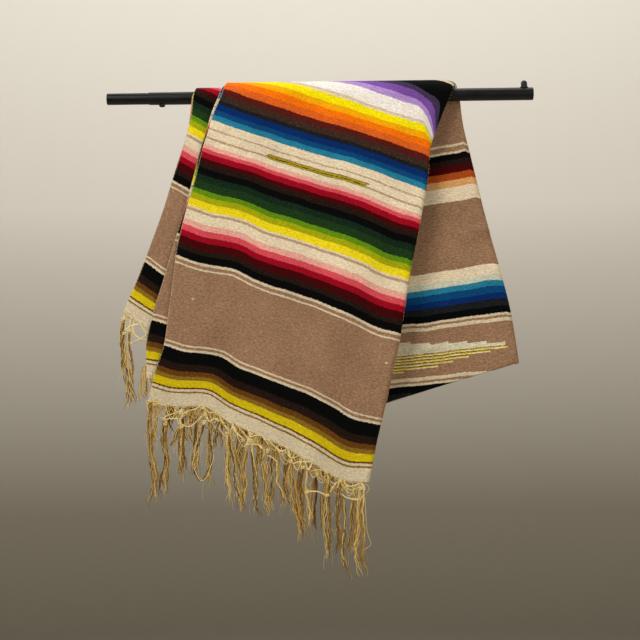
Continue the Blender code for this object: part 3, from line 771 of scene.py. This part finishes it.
tree.links.new(cloth_colour, shader.inputs["Base Color"])
tree.links.new(relief.outputs["Normal"], shader.inputs["Normal"])
shader.inputs["Roughness"].default_value = 0.93
shader.inputs["Specular IOR Level"].default_value = 0.05
# The nap catches a little light at the edges of folds.
shader.inputs["Sheen Weight"].default_value = 0.02
shader.inputs["Sheen Roughness"].default_value = 0.5
for web in WEBS:
    cloth = add_web(web, wool)
    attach(cloth, "root")
    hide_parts(web[0])


# Knotted fringe on each hem: bright warp cords swag between knots and golden hanks of crinkled
# yarn hang from them. Each fringe is one piece of round yarns that replaces its solid comb.
# The outer fringe and the visible end of the third follow the photograph knot by knot, and the
# hidden ones are of the same kind.
yarn = bpy.data.materials.new("unbleached_warp_yarn")
yarn.use_nodes = True
tree = yarn.node_tree
shader = tree.nodes["Principled BSDF"]
strand = add_node(tree, "ShaderNodeUVMap", uv_map="weave").outputs["UV"]
split = add_node(tree, "ShaderNodeSeparateXYZ", {"Vector": strand})
tones = add_node(tree, "ShaderNodeValToRGB", {"Fac": split.outputs["X"]})
for index, (stop_place, hex_colour) in enumerate((
        (0.0, "#f4e2a6"), (0.25, "#e6c670"), (0.5, "#bf9238"), (0.75, "#8c641e"),
        (1.0, "#503610"))):
    ramp_stops = tones.color_ramp.elements
    stop = ramp_stops[0] if index == 0 else ramp_stops.new(stop_place) if index < 4 else ramp_stops[-1]
    stop.position = stop_place
    stop.color = linear(hex_colour)
place = add_node(tree, "ShaderNodeTexCoord").outputs["Object"]
drawn_place = add_node(tree, "ShaderNodeMapping", {"Vector": place, "Scale": (1100.0, 1100.0, 260.0)})
fibres = add_node(tree, "ShaderNodeTexNoise", {
    "Vector": drawn_place.outputs["Vector"], "Scale": 1.0, "Detail": 3.0, "Roughness": 0.7})
shade = add_node(tree, "ShaderNodeMapRange", {
    "Value": fibres.outputs["Fac"], "From Min": 0.3, "From Max": 0.7, "To Min": 0.72, "To Max": 1.22})
colour = add_node(tree, "ShaderNodeHueSaturation", {
    "Value": shade.outputs["Result"], "Color": tones.outputs["Color"]})
# Two-ply twist, one turn every 5 mm.
twist = add_node(tree, "ShaderNodeMath", {
    0: split.outputs["Y"], 1: 2.0 * math.pi / 0.005}, operation="MULTIPLY")
twist = add_node(tree, "ShaderNodeMath", {0: twist.outputs["Value"]}, operation="SINE")
height = add_node(tree, "ShaderNodeMath", {
    0: fibres.outputs["Fac"], 1: 2.0, 2: twist.outputs["Value"]}, operation="MULTIPLY_ADD")
relief = add_node(tree, "ShaderNodeBump", {
    "Height": height.outputs["Value"], "Strength": 0.6, "Distance": 0.0004})
tree.links.new(colour.outputs["Color"], shader.inputs["Base Color"])
tree.links.new(relief.outputs["Normal"], shader.inputs["Normal"])
shader.inputs["Roughness"].default_value = 0.55
shader.inputs["Specular IOR Level"].default_value = 0.35
shader.inputs["Sheen Weight"].default_value = 0.04

# How long each fringe hangs across the half width, in millimetres: levels 3, 2, 1 and 0.
FRINGE_TABLE = np.array([
    (0.00, 210, 100, 172, 150),
    (0.12, 170, 110, 186, 165),
    (0.25, 126, 140, 160, 150),
    (0.40, 132, 150, 150, 140),
    (0.50, 165, 140, 165, 150),
    (0.58, 108, 150, 150, 155),
    (0.68, 182, 155, 160, 150),
    (0.80, 200, 160, 150, 160),
    (0.90, 198, 150, 155, 165),
    (1.00, 182, 140, 150, 160),
], dtype=float)
# Scale of the photograph at the rail and its middle, where the camera stands, and how far in front
# of the rail the outer and the third fringe hang.
MM_PER_PIXEL = 2.0
PICTURE_MIDDLE = 320.0
CAMERA_FAR = 3200.0
CAMERA_DROP = 447.0
CAMERA_ROLL = math.radians(0.75)
OUTER_OUT = 47.0
THIRD_OUT = 30.0
# Cords, threads and hanks of the outer fringe, charted in the pixels of the photograph.
OUTER_CORDS = (
    ((150.5, 400), (158, 403.5), (166, 406)),
    ((180.6, 411), (172, 414), (165, 417), (163.6, 421)),
    ((178, 419), (171, 418.5), (165, 420), (163.6, 422)),
    ((180.6, 409), (183, 415), (179.5, 420), (181.5, 425)),
    ((202, 404), (196, 409), (188, 411), (183, 414)),
    ((181.5, 425), (188, 427), (194, 424), (199, 419), (204, 415)),
    ((202, 404), (205, 413), (208.8, 422.4)),
    ((203, 407), (209, 413), (214, 413), (218, 415)),
    ((208.8, 422.4), (213, 419.5), (217, 420), (219, 422)),
    ((217, 411), (220, 419), (224, 425), (228.7, 431.5)),
    ((219, 413), (225, 419), (230, 423), (231, 424)),
    ((231, 421), (235, 431), (243, 439)),
    ((247, 426.5), (249, 433), (251, 437)),
    ((251, 437), (255, 435.5), (262, 436), (269, 444)),
    ((251, 437), (248, 441), (247, 445)),
    ((247, 445), (252, 444), (259, 445), (264, 449)),
    ((268, 455), (273, 458), (278, 463)),
    ((268, 439), (275, 447), (281, 451), (285, 450)),
    ((286, 445), (289, 453), (290.7, 458)),
    ((292, 464), (298, 462), (305, 461.6), (311, 462)),
    ((301, 451), (305, 461), (307, 471)),
    ((313, 456.5), (311, 466), (308, 471)),
    ((308, 471), (313, 470.5), (318, 470), (324, 471), (329, 473)),
    ((306.4, 491.4), (312, 491.5), (318, 492), (323, 494.5), (327, 497)),
    ((329, 494), (333, 488), (339.6, 479.6)),
    ((341, 494), (346, 498), (351, 499.3), (360, 499.7), (364.5, 494)),
    ((344, 482.5), (347, 486.5), (351, 487), (355, 486), (359.5, 484)),
    ((361, 483), (364.5, 488), (363.7, 493)),
)
OUTER_THREADS = (
    ((315, 465), (320, 475), (325, 481), (328, 483)),
    ((363, 483.5), (368, 486), (369, 490), (366, 494)),
    ((365, 498), (367.5, 533), (371, 544.5), (366, 549), (361, 551)),
    ((278, 463), (286.5, 479.5), (294.5, 492.5), (300, 499.5)),
    ((333.5, 514), (330, 524.5), (336, 535.5), (340, 532.5)),
    ((232.5, 449.5), (228.5, 457.5), (222.5, 461)),
)
OUTER_HANKS = (
    ((150, 400), (149, 430), (150, 455), (153, 480), (148, 511)),
    ((152, 402), (151, 430), (153, 455), (156.5, 480), (154, 511)),
    ((155, 402), (156, 425), (155, 440), (157, 447)),
    ((163.6, 421), (163, 445), (165, 465), (161, 485), (158, 501)),
    ((165, 422), (165.5, 445), (168, 465), (166.5, 485), (164, 500)),
    ((179, 426), (176, 436), (172, 444), (170, 450)),
    ((181.5, 425), (181, 445), (182, 465), (180, 480)),
    ((208.8, 422.4), (209.5, 440), (212, 461), (207, 476), (201.4, 481.5), (195, 474.5),
     (192.5, 462), (197, 449), (200, 430), (202, 412)),
    ((204, 421), (199, 440), (193, 453)),
    ((219, 422), (214, 440), (212, 452)),
    ((227, 432), (226.5, 450), (227, 470), (229, 493), (228, 508)),
    ((230, 432), (232, 450), (236, 478), (238, 500), (238, 512)),
    ((243, 439), (238, 455), (241, 475), (243, 500), (245, 518)),
    ((247, 445), (245.5, 465), (245, 485), (242, 500), (243, 514)),
    ((251, 439.5), (253.6, 470), (256, 495), (256, 508), (258.6, 522)),
    ((264, 447), (263.5, 470), (265, 490), (266, 505), (267, 518)),
    ((268, 449), (267, 470), (268.5, 492), (267.5, 511)),
    ((277.8, 463), (277, 482), (284, 495), (283, 508)),
    ((291, 460), (290, 485), (294, 505), (298, 522), (302, 545)),
    ((293, 462), (294.5, 485), (298, 505), (301.5, 522), (306, 543)),
    ((303, 466), (301.5, 490), (303, 515), (306, 531)),
    ((307, 471), (306.4, 492), (308, 512), (309.5, 533)),
    ((326.5, 470.5), (326, 496), (324.5, 520), (326.5, 545), (323, 566)),
    ((329.5, 473.5), (329.5, 496), (328.5, 520), (330.5, 542), (329, 563)),
    ((340, 481), (341, 492), (338, 510), (339, 535), (335, 564)),
    ((342, 494), (345, 515), (343, 540), (345, 562), (351, 583)),
    ((361, 487), (359, 510), (358, 540), (356, 560), (362, 579)),
    ((363.7, 493), (362.5, 515), (363, 542), (363, 562), (371, 580)),
)
# The same for the visible end of the third fringe.
THIRD_CORDS = (
    ((125, 312), (124, 317), (123.5, 323)),
    ((127.5, 314), (125, 324), (124.5, 334)),
    ((131.5, 316), (130, 324), (129, 333)),
    ((124, 331), (129, 327), (134, 325), (139, 324), (140.5, 321)),
    ((140, 324), (144, 330), (148, 335)),
    ((134, 318), (133, 330), (136, 336), (141, 339), (148.5, 342)),
    ((130, 344), (138, 340), (144, 337), (148.5, 333)),
)
THIRD_HANKS = (
    ((123, 318), (121.5, 335), (122, 360), (127, 386), (129, 402), (128, 416)),
    ((124, 332), (125, 350), (129, 375), (132, 395), (135, 404)),
    ((129, 330), (130, 350), (132, 374), (134, 394), (132, 408)),
    ((124, 320), (124, 345), (126, 370), (130, 394), (133, 410)),
    ((146, 364), (143, 377), (141, 390), (137, 404)),
    ((147, 366), (146, 384), (147, 402)),
)
# More knots of the outer fringe, as x and depth in millimetres.
OUTER_KNOTS = ((-277, 626), (-234, 618), (-31, 786), (10, 794))
CORD_RADIUS = 1.4
YARN_RADIUS = 0.78
THREAD_RADIUS = 0.56
FLYAWAYS = 6
OUTER_SLACK_LOOPS = 70
HIDDEN_SLACK_LOOPS = 44
HEM_LOOPS = 66


def from_picture(run, out):
    """X and depth in millimetres of places charted in the photograph, for cloth that far out."""
    scale = MM_PER_PIXEL * (CAMERA_FAR - out) / CAMERA_FAR
    places = []
    for pixel_across, pixel_down in run:
        right = pixel_across - PICTURE_MIDDLE
        down = pixel_down - PICTURE_MIDDLE
        x = scale * (right * math.cos(CAMERA_ROLL) - down * math.sin(CAMERA_ROLL))
        depth = scale * (right * math.sin(CAMERA_ROLL) + down * math.cos(CAMERA_ROLL))
        places.append((x, CAMERA_DROP + depth))
    return tuple(places)


def follow(run, level, steps):
    """A smooth path along a run, in the plane of its layer."""
    run = np.array(run, dtype=float)
    gone = np.concatenate(((0.0,), np.cumsum(np.hypot(*np.diff(run, axis=0).T))))
    table = np.column_stack((gone, run))
    where = np.linspace(0.0, gone[-1], steps)
    return hanging(read_table(table, 1, where), read_table(table, 2, where), level, True)


def add_tube(parts, points, radii, sides, tone, upright=(0.0, 1.0, 0.0)):
    """Adds a closed round yarn to the parts of a fringe."""
    tangents = np.gradient(points, axis=0)
    tangents /= np.linalg.norm(tangents, axis=1, keepdims=True)
    side = np.cross(tangents, upright)
    side /= np.linalg.norm(side, axis=1, keepdims=True)
    other = np.cross(side, tangents)
    angles = 2.0 * math.pi * np.arange(sides) / sides
    ring = (np.cos(angles)[None, :, None] * side[:, None, :]
            + np.sin(angles)[None, :, None] * other[:, None, :])
    vertices = points[:, None, :] + ring * np.broadcast_to(radii, len(points))[:, None, None]
    first = parts["count"]
    index = first + np.arange(len(points) * sides).reshape(len(points), sides)
    after = np.roll(index, -1, axis=1)
    quads = np.stack((index[:-1], index[1:], after[1:], after[:-1]), axis=-1).reshape(-1, 4)
    parts["faces"] += quads.tolist()
    parts["faces"] += [index[0].tolist(), index[-1][::-1].tolist()]
    parts["vertices"].append(vertices.reshape(-1, 3))
    gone = np.concatenate(((0.0,), np.cumsum(np.linalg.norm(np.diff(points, axis=0), axis=1))))
    uv = np.stack((np.full(len(points), tone), gone / 1000.0), axis=-1)
    parts["uv"].append(np.repeat(uv, sides, axis=0))
    parts["count"] += len(points) * sides


def add_cord(parts, run, level, random):
    """A bright cord of two strands that lie side by side and cross now and then."""
    length = sum(math.dist(*pair) for pair in zip(run, run[1:]))
    steps = max(int(length / 3.0), 8)
    path = follow(run, level, steps)
    turn = np.linspace(0.0, length / 16.0, steps) + random.uniform(0.0, 6.0)
    for start_turn in (0.0, math.pi):
        points = path.copy()
        points[:, 0] += 0.75 * CORD_RADIUS * np.cos(turn + start_turn) * 0.8
        points[:, 2] += 0.75 * CORD_RADIUS * np.cos(turn + start_turn) * 0.6
        points[:, 1] += 0.75 * CORD_RADIUS * np.sin(turn + start_turn)
        add_tube(parts, points, 0.8 * CORD_RADIUS, 6, random.uniform(0.0, 0.22))


def add_wrap(parts, place, level, random):
    """A knot: a cord wound twice round the head of a hank."""
    turns = np.linspace(0.0, 2.3 * 2.0 * math.pi, 34) + random.uniform(0.0, 6.0)
    centre = hanging(place[0], place[1], level, True)
    rise = np.linspace(-1.0, 1.0, len(turns))
    points = np.stack((
        centre[0] + 3.6 * np.cos(turns),
        centre[1] + 2.6 * np.sin(turns),
        centre[2] - 3.4 * rise + 1.2 * np.cos(turns)), axis=-1)
    add_tube(parts, points, 1.25, 6, random.uniform(0.05, 0.25), (0.0, 0.0, 1.0))


def add_hank(parts, run, level, random):
    """A flat hank of crinkled yarns that part towards their ends."""
    length = sum(math.dist(*pair) for pair in zip(run, run[1:]))
    steps = max(int(length / 4.2), 10)
    path = follow(run, level, steps)
    share = np.linspace(0.0, 1.0, steps)
    gone = share * length
    # The hank bunches and opens again on its way down.
    bunch = 1.0 + 0.35 * np.sin(gone / random.uniform(9.0, 15.0) + random.uniform(0.0, 6.0))
    widen = (0.4 + 0.45 * ease(share * 5.0) + 0.45 * ease((share - 0.7) * 3.3)) * bunch
    sway = np.sin(gone / random.uniform(11.0, 18.0) + random.uniform(0.0, 6.0))
    path[:, 0] += 1.7 * ease(share * 4.0) * sway
    yarns = int(random.integers(5, 8))
    twist = random.uniform(-1.2, 1.2)
    for number in range(yarns):
        around = 2.0 * math.pi * (number + random.uniform(0.0, 0.5)) / yarns + twist * share * 3.0
        crinkle = random.uniform(9.0, 15.0)
        phase = random.uniform(0.0, 6.0)
        points = path.copy()
        points[:, 0] += 2.8 * widen * np.cos(around)
        points[:, 0] += (0.6 + 0.9 * share) * np.sin(gone / crinkle * 2.6 + phase)
        points[:, 1] += 1.7 * widen * np.sin(around)
        points[:, 1] += 0.5 * np.cos(gone / crinkle * 2.3 + phase)
        stray = random.uniform(-8.0, 8.0)
        points[:, 0] += stray * ease((share - 0.78) * 4.5)
        ends = max(int(steps * random.uniform(0.82, 1.0)), 8)
        radii = YARN_RADIUS * random.uniform(0.8, 1.25) * (1.0 - 0.62 * ease((share - 0.72) * 3.6))
        tone = random.uniform(0.1, 1.0)
        add_tube(parts, points[:ends], radii[:ends], 4, tone)
    for _ in range(FLYAWAYS):
        start_step = int(random.integers(2, max(steps - 4, 3)))
        start = path[start_step]
        drift = random.uniform(-12.0, 12.0)
        reach = random.uniform(10.0, 38.0)
        along_thread = np.linspace(0.0, 1.0, 10)
        points = np.stack((
            start[0] + drift * np.sin(along_thread * 2.2),
            np.full(10, start[1] - random.uniform(0.5, 2.4)),
            start[2] - reach * along_thread + 3.0 * np.sin(along_thread * 5.0)), axis=-1)
        add_tube(parts, points, 0.25, 3, random.uniform(0.0, 0.5))


def hem_line(web, level):
    """The hem from its selvage to the fold, as points in millimetres."""
    row = 0.0 if level == web[1] else 7.0
    return web_surface(web, np.array([row]), np.linspace(0.0, 1.0, 61))[0]


def plan_fringe(line, level, knots, left_lean, fold_lean, random, begin):
    """Runs of cords, hanks and knots for a hem that the photograph hides."""
    cords = []
    hanks = []
    wraps = []
    shares = np.linspace(0.0, 1.0, len(line))
    before = None
    for number in range(knots):
        share = (number + 0.5 + random.uniform(-0.18, 0.18)) / knots
        if share < begin:
            continue
        x = np.interp(share, shares, line[:, 0])
        hem = -np.interp(share, shares, line[:, 2])
        low = hem + random.uniform(12.0, 28.0)
        wraps.append((x, low + 3.0))
        for side in (-0.36, 0.36):
            root = np.clip(share + side / knots, 0.01, 0.99)
            root_x = np.interp(root, shares, line[:, 0])
            root_hem = -np.interp(root, shares, line[:, 2])
            cords.append(((root_x, root_hem - 3.0), ((root_x + x) / 2.0, (root_hem + low) / 2.0 + 3.0),
                          (x, low)))
        if before is not None and random.uniform() < 0.6:
            sag = max(low, before[1]) + random.uniform(3.0, 8.0)
            cords.append((before, ((before[0] + x) / 2.0, sag), (x, low + 2.0)))
        before = (x, low + 2.0)
        lean = mix(left_lean, fold_lean, share)
        full = np.interp(share, FRINGE_TABLE[:, 0], FRINGE_TABLE[:, LEVEL_COLUMN[level]])
        for piece in range(int(random.integers(1, 3))):
            reach = full * random.uniform(0.78, 1.0) - (low - hem)
            apart = (piece - 1.0) * 6.0
            middle = (x + apart + lean * reach * 0.5 + random.uniform(-3.0, 3.0), low + reach * 0.5)
            end = (x + apart * 1.2 + lean * reach + random.uniform(-3.0, 3.0), low + reach)
            hanks.append(((x + apart * 0.2, low), middle, end))
    return cords, hanks, wraps


# name, level, web, knots, lean at the left and at the fold, seed, share where the plan begins
FRINGES = (
    ("fringe_outer", 3, 0, 0, 0.0, 0.0, 11, 0.0),
    ("fringe_second", 2, 0, 13, 0.05, -0.24, 12, 0.0),
    ("fringe_third", 1, 1, 13, 0.18, -0.24, 13, 0.16),
    ("fringe_inner", 0, 1, 14, 0.0, -0.02, 14, 0.0),
)
for name, level, web_index, knots, left_lean, fold_lean, seed, begin in FRINGES:
    random = np.random.default_rng(seed)
    line = hem_line(WEBS[web_index], level)
    cords, hanks, wraps = [], [], []
    if knots:
        cords, hanks, wraps = plan_fringe(line, level, knots, left_lean, fold_lean, random, begin)
    if level == 3:
        cords = [from_picture(run, OUTER_OUT) for run in OUTER_CORDS]
        hanks = [from_picture(run, OUTER_OUT) for run in OUTER_HANKS]
        wraps = [(run[0][0], run[0][1] + 3.0) for run in hanks[::2]]
        wraps += OUTER_KNOTS
    if level == 1:
        cords += [from_picture(run, THIRD_OUT) for run in THIRD_CORDS]
        third_hanks = [from_picture(run, THIRD_OUT) for run in THIRD_HANKS]
        hanks += third_hanks
        wraps += [(run[0][0], run[0][1] + 3.0) for run in third_hanks[:3]]
    parts = {"vertices": [], "faces": [], "uv": [], "count": 0}
    for run in cords:
        add_cord(parts, run, level, random)
    for run in OUTER_THREADS if level == 3 else ():
        points = follow(from_picture(run, OUTER_OUT), level - 0.3, 26)
        add_tube(parts, points, THREAD_RADIUS, 5, 0.3)
    # Small slack loops of single yarns between the hem and the knots.
    slack_loops = OUTER_SLACK_LOOPS if level == 3 else HIDDEN_SLACK_LOOPS
    for number, share in enumerate(np.linspace(0.02, 0.98, slack_loops)):
        if share < begin:
            continue
        at = int(share * 60.0)
        x, hem = line[at, 0], -line[at, 2]
        wide = random.uniform(7.0, 17.0)
        sag = random.uniform(12.0, 24.0) + 14.0 * (number % 3 == 0)
        run = ((x - wide, hem - wide * 0.3 + 1.0), (x - wide * random.uniform(0.1, 0.7), hem + sag * 0.75),
               (x + random.uniform(0.0, 5.0), hem + sag), (x + wide, hem + wide * 0.3 + 2.0))
        add_tube(parts, follow(run, level + random.uniform(-0.1, 0.2), 18),
                 random.uniform(0.7, 1.05), 5, random.uniform(0.05, 0.6))
    for place in wraps:
        add_wrap(parts, place, level, random)
    for run in hanks:
        add_hank(parts, run, level, random)
    # The hem's edge is whipped with small loops of the same yarn.
    for number, share in enumerate(np.linspace(0.012, 0.988, HEM_LOOPS)):
        at = share * 60.0
        low = line[int(at)] + (line[min(int(at) + 1, 60)] - line[int(at)]) * (at - int(at))
        turn = np.linspace(-0.25, 1.25, 11) * math.pi
        size = random.uniform(2.6, 4.2)
        points = np.stack((
            low[0] + size * np.cos(turn), np.full(11, low[1] - 0.4 + 0.8 * (number % 2)),
            low[2] + 1.4 - size * 0.8 * np.sin(turn) - 0.3), axis=-1)
        add_tube(parts, points, 0.7, 4, random.uniform(0.05, 0.5))
    vertices = np.concatenate(parts["vertices"]) / 1000.0
    piece = add_mesh(name + "_yarn", vertices, parts["faces"], yarn, np.concatenate(parts["uv"]))
    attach(piece, "root")
    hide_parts(name)


# Centre seam: the two webs are whipped together edge to edge with a two-ply straw thread. The
# stitches ride over the fold that the seam makes, one about every 9 mm.
STITCH_PITCH = 9.0
STITCH_REACH = 3.2
STITCH_RADIUS = 0.38


def seam_side(web):
    """Points on the seam and a stitch's reach away from it, at every row."""
    rows = cloth_rows()
    points = web_surface(web, rows, cloth_columns())
    edge = points[:, -1]
    from_edge = lengths_along(points[:, ::-1], 1)
    reach = np.zeros(edge.shape)
    for row in range(len(rows)):
        for axis in range(3):
            reach[row, axis] = np.interp(STITCH_REACH, from_edge[row], points[row, ::-1, axis])
    return rows, edge, reach


seam_rows, left_edge, left_reach = seam_side(WEBS[0])
_, right_edge, right_reach = seam_side(WEBS[1])
seam_gone = np.concatenate(((0.0,), np.cumsum(np.linalg.norm(np.diff(left_edge, axis=0), axis=1))))
random = np.random.default_rng(21)
parts = {"vertices": [], "faces": [], "uv": [], "count": 0}
for along_seam in np.arange(6.0, seam_gone[-1] - 6.0, STITCH_PITCH):
    row = int(np.searchsorted(seam_gone, along_seam + random.uniform(-1.0, 1.0)))
    slant = min(row + 1, len(seam_rows) - 1)
    middle = (left_edge[row] + right_edge[slant]) / 2.0
    out = middle - (left_reach[row] + right_reach[slant]) / 2.0
    out /= np.linalg.norm(out)
    rise = WALL / 2 + 0.35
    left_out = out + (left_reach[row] - middle) / STITCH_REACH * 0.4
    right_out = out + (right_reach[slant] - middle) / STITCH_REACH * 0.4
    points = np.array((
        left_reach[row] + left_out * (WALL / 2 - 0.5),
        left_reach[row] + (middle - left_reach[row]) * 0.3 + left_out * rise * 0.95,
        middle + out * rise,
        right_reach[slant] + (middle - right_reach[slant]) * 0.3 + right_out * rise * 0.95,
        right_reach[slant] + right_out * (WALL / 2 - 0.5)))
    add_tube(parts, points, STITCH_RADIUS, 5, 0.35, (0.12, 0.31, 0.94))
# Two small repair knots stand on the front layer.
KNOT_PLACES = ((-250.0, 402.0), (130.0, 534.0))
KNOT_LIFT = 0.25
for x, depth in KNOT_PLACES:
    turns = np.linspace(0.0, 4.0 * math.pi, 26)
    centre = hanging(x, depth, 3.0 + KNOT_LIFT, True)
    points = np.stack((
        centre[0] + 2.4 * np.cos(turns), np.full(26, centre[1]) - 0.5 * np.sin(0.5 * turns),
        centre[2] + 1.9 * np.sin(turns)), axis=-1)
    add_tube(parts, points, 0.6, 5, 0.0)
vertices = np.concatenate(parts["vertices"]) / 1000.0
stitches = add_mesh("seam_stitches", vertices, parts["faces"], yarn, np.concatenate(parts["uv"]))
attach(stitches, "root")


# Studio: a pale floor that sweeps up into a wall all round, which is washed from above. One soft
# key stands at the upper left in front, with a broad fill from the right and a little light from
# above and behind. The camera stands level.
FLOOR_HEIGHT = -2.6
FLAT_RADIUS = 3.6
SWEEP = 2.4
WALL_TOP = 3.4
SWEEP_STEPS = 12
STAGE_SIDES = 96


def add_stage():
    """A floor, its sweep and the wall above it, turned round the upright axis."""
    profile = [(FLAT_RADIUS, FLOOR_HEIGHT)]
    for step in range(1, SWEEP_STEPS + 1):
        angle = math.pi / 2 * step / SWEEP_STEPS
        profile.append((FLAT_RADIUS + SWEEP * math.sin(angle),
                        FLOOR_HEIGHT + SWEEP * (1.0 - math.cos(angle))))
    profile.append((FLAT_RADIUS + SWEEP, WALL_TOP))
    vertices = []
    faces = []
    for radius, height in profile:
        for index in range(STAGE_SIDES):
            angle = 2.0 * math.pi * index / STAGE_SIDES
            vertices.append((radius * math.cos(angle), radius * math.sin(angle), height))
    vertices.append((0.0, 0.0, FLOOR_HEIGHT))
    for index in range(STAGE_SIDES):
        faces.append((len(vertices) - 1, index, (index + 1) % STAGE_SIDES))
    for ring in range(len(profile) - 1):
        for index in range(STAGE_SIDES):
            after = (index + 1) % STAGE_SIDES
            low = ring * STAGE_SIDES
            high = low + STAGE_SIDES
            faces.append((low + index, high + index, high + after, low + after))
    mesh = bpy.data.meshes.new("studio_floor")
    mesh.from_pydata(vertices, [], faces)
    mesh.shade_smooth()
    sweep = bpy.data.objects.new("studio_floor", mesh)
    bpy.context.collection.objects.link(sweep)
    return sweep


# Pale matt paper with painted light and shade: light high on the wall, darker towards its foot, and pale
# again on the floor.
backdrop = bpy.data.materials.new("paper_sweep_painted_shade")
backdrop.use_nodes = True
tree = backdrop.node_tree
shader = tree.nodes["Principled BSDF"]
upright = add_node(tree, "ShaderNodeSeparateXYZ", {
    "Vector": add_node(tree, "ShaderNodeTexCoord").outputs["Object"]})
up_wall = add_node(tree, "ShaderNodeMapRange", {
    "Value": upright.outputs["Z"], "From Min": FLOOR_HEIGHT, "From Max": 1.4})
tones = add_node(tree, "ShaderNodeValToRGB", {"Fac": up_wall.outputs["Result"]})
for index, (stop_place, hex_colour) in enumerate((
        (0.0, "#c9c3b6"), (0.05, "#7d7566"), (0.14, "#6b6455"), (0.28, "#7f7767"),
        (0.7, "#e6dfd4"), (1.0, "#e6e1d6"))):
    ramp_stops = tones.color_ramp.elements
    stop = ramp_stops[index] if index < 2 else ramp_stops.new(stop_place)
    stop.position = stop_place
    stop.color = linear(hex_colour)
tree.links.new(tones.outputs["Color"], shader.inputs["Base Color"])
shader.inputs["Roughness"].default_value = 0.95
floor = add_stage()
floor.data.materials.append(backdrop)

for name, location, size, energy in (
    ("key", (-1.9, -2.6, 1.6), 1.8, 95.0),
    ("fill", (2.4, -2.4, 0.2), 2.2, 38.0),
    ("top", (0.3, 0.6, 2.2), 2.0, 30.0),
    ("back", (-0.8, 2.8, 0.8), 1.8, 40.0),
):
    light = bpy.data.lights.new(name, "AREA")
    light.size = size
    light.energy = energy
    lamp = bpy.data.objects.new(name, light)
    bpy.context.collection.objects.link(lamp)
    lamp.location = location
    aim = np.array((0.0, 0.0, -0.4)) - np.array(location)
    flat = math.hypot(aim[0], aim[1])
    lamp.rotation_euler = (math.atan2(flat, -aim[2]), 0.0, math.atan2(aim[1], aim[0]) - math.pi / 2)

wash = bpy.data.lights.new("wall_wash", "AREA")
wash.shape = "RECTANGLE"
wash.size = 4.5
wash.size_y = 0.5
wash.energy = 85.0
wash_lamp = bpy.data.objects.new("wall_wash", wash)
bpy.context.collection.objects.link(wash_lamp)
wash_lamp.location = (0.0, 3.2, 2.8)
wash_lamp.rotation_euler = (math.radians(60.0), 0.0, 0.0)

world = bpy.data.worlds.new("studio_air")
world.use_nodes = True
world.node_tree.nodes["Background"].inputs["Color"].default_value = linear("#d9d6d0")
world.node_tree.nodes["Background"].inputs["Strength"].default_value = 0.45
bpy.context.scene.world = world
bpy.context.scene.view_settings.view_transform = "Standard"

camera = bpy.data.objects.new("camera", bpy.data.cameras.new("camera"))
bpy.context.collection.objects.link(camera)
camera.data.sensor_fit = "HORIZONTAL"
camera.data.sensor_width = 36.0
camera.data.lens = 90.0
camera.location = (0.0, -CAMERA_FAR / 1000.0, -CAMERA_DROP / 1000.0)
camera.rotation_euler = (math.radians(90.0), CAMERA_ROLL, 0.0)
bpy.context.scene.camera = camera
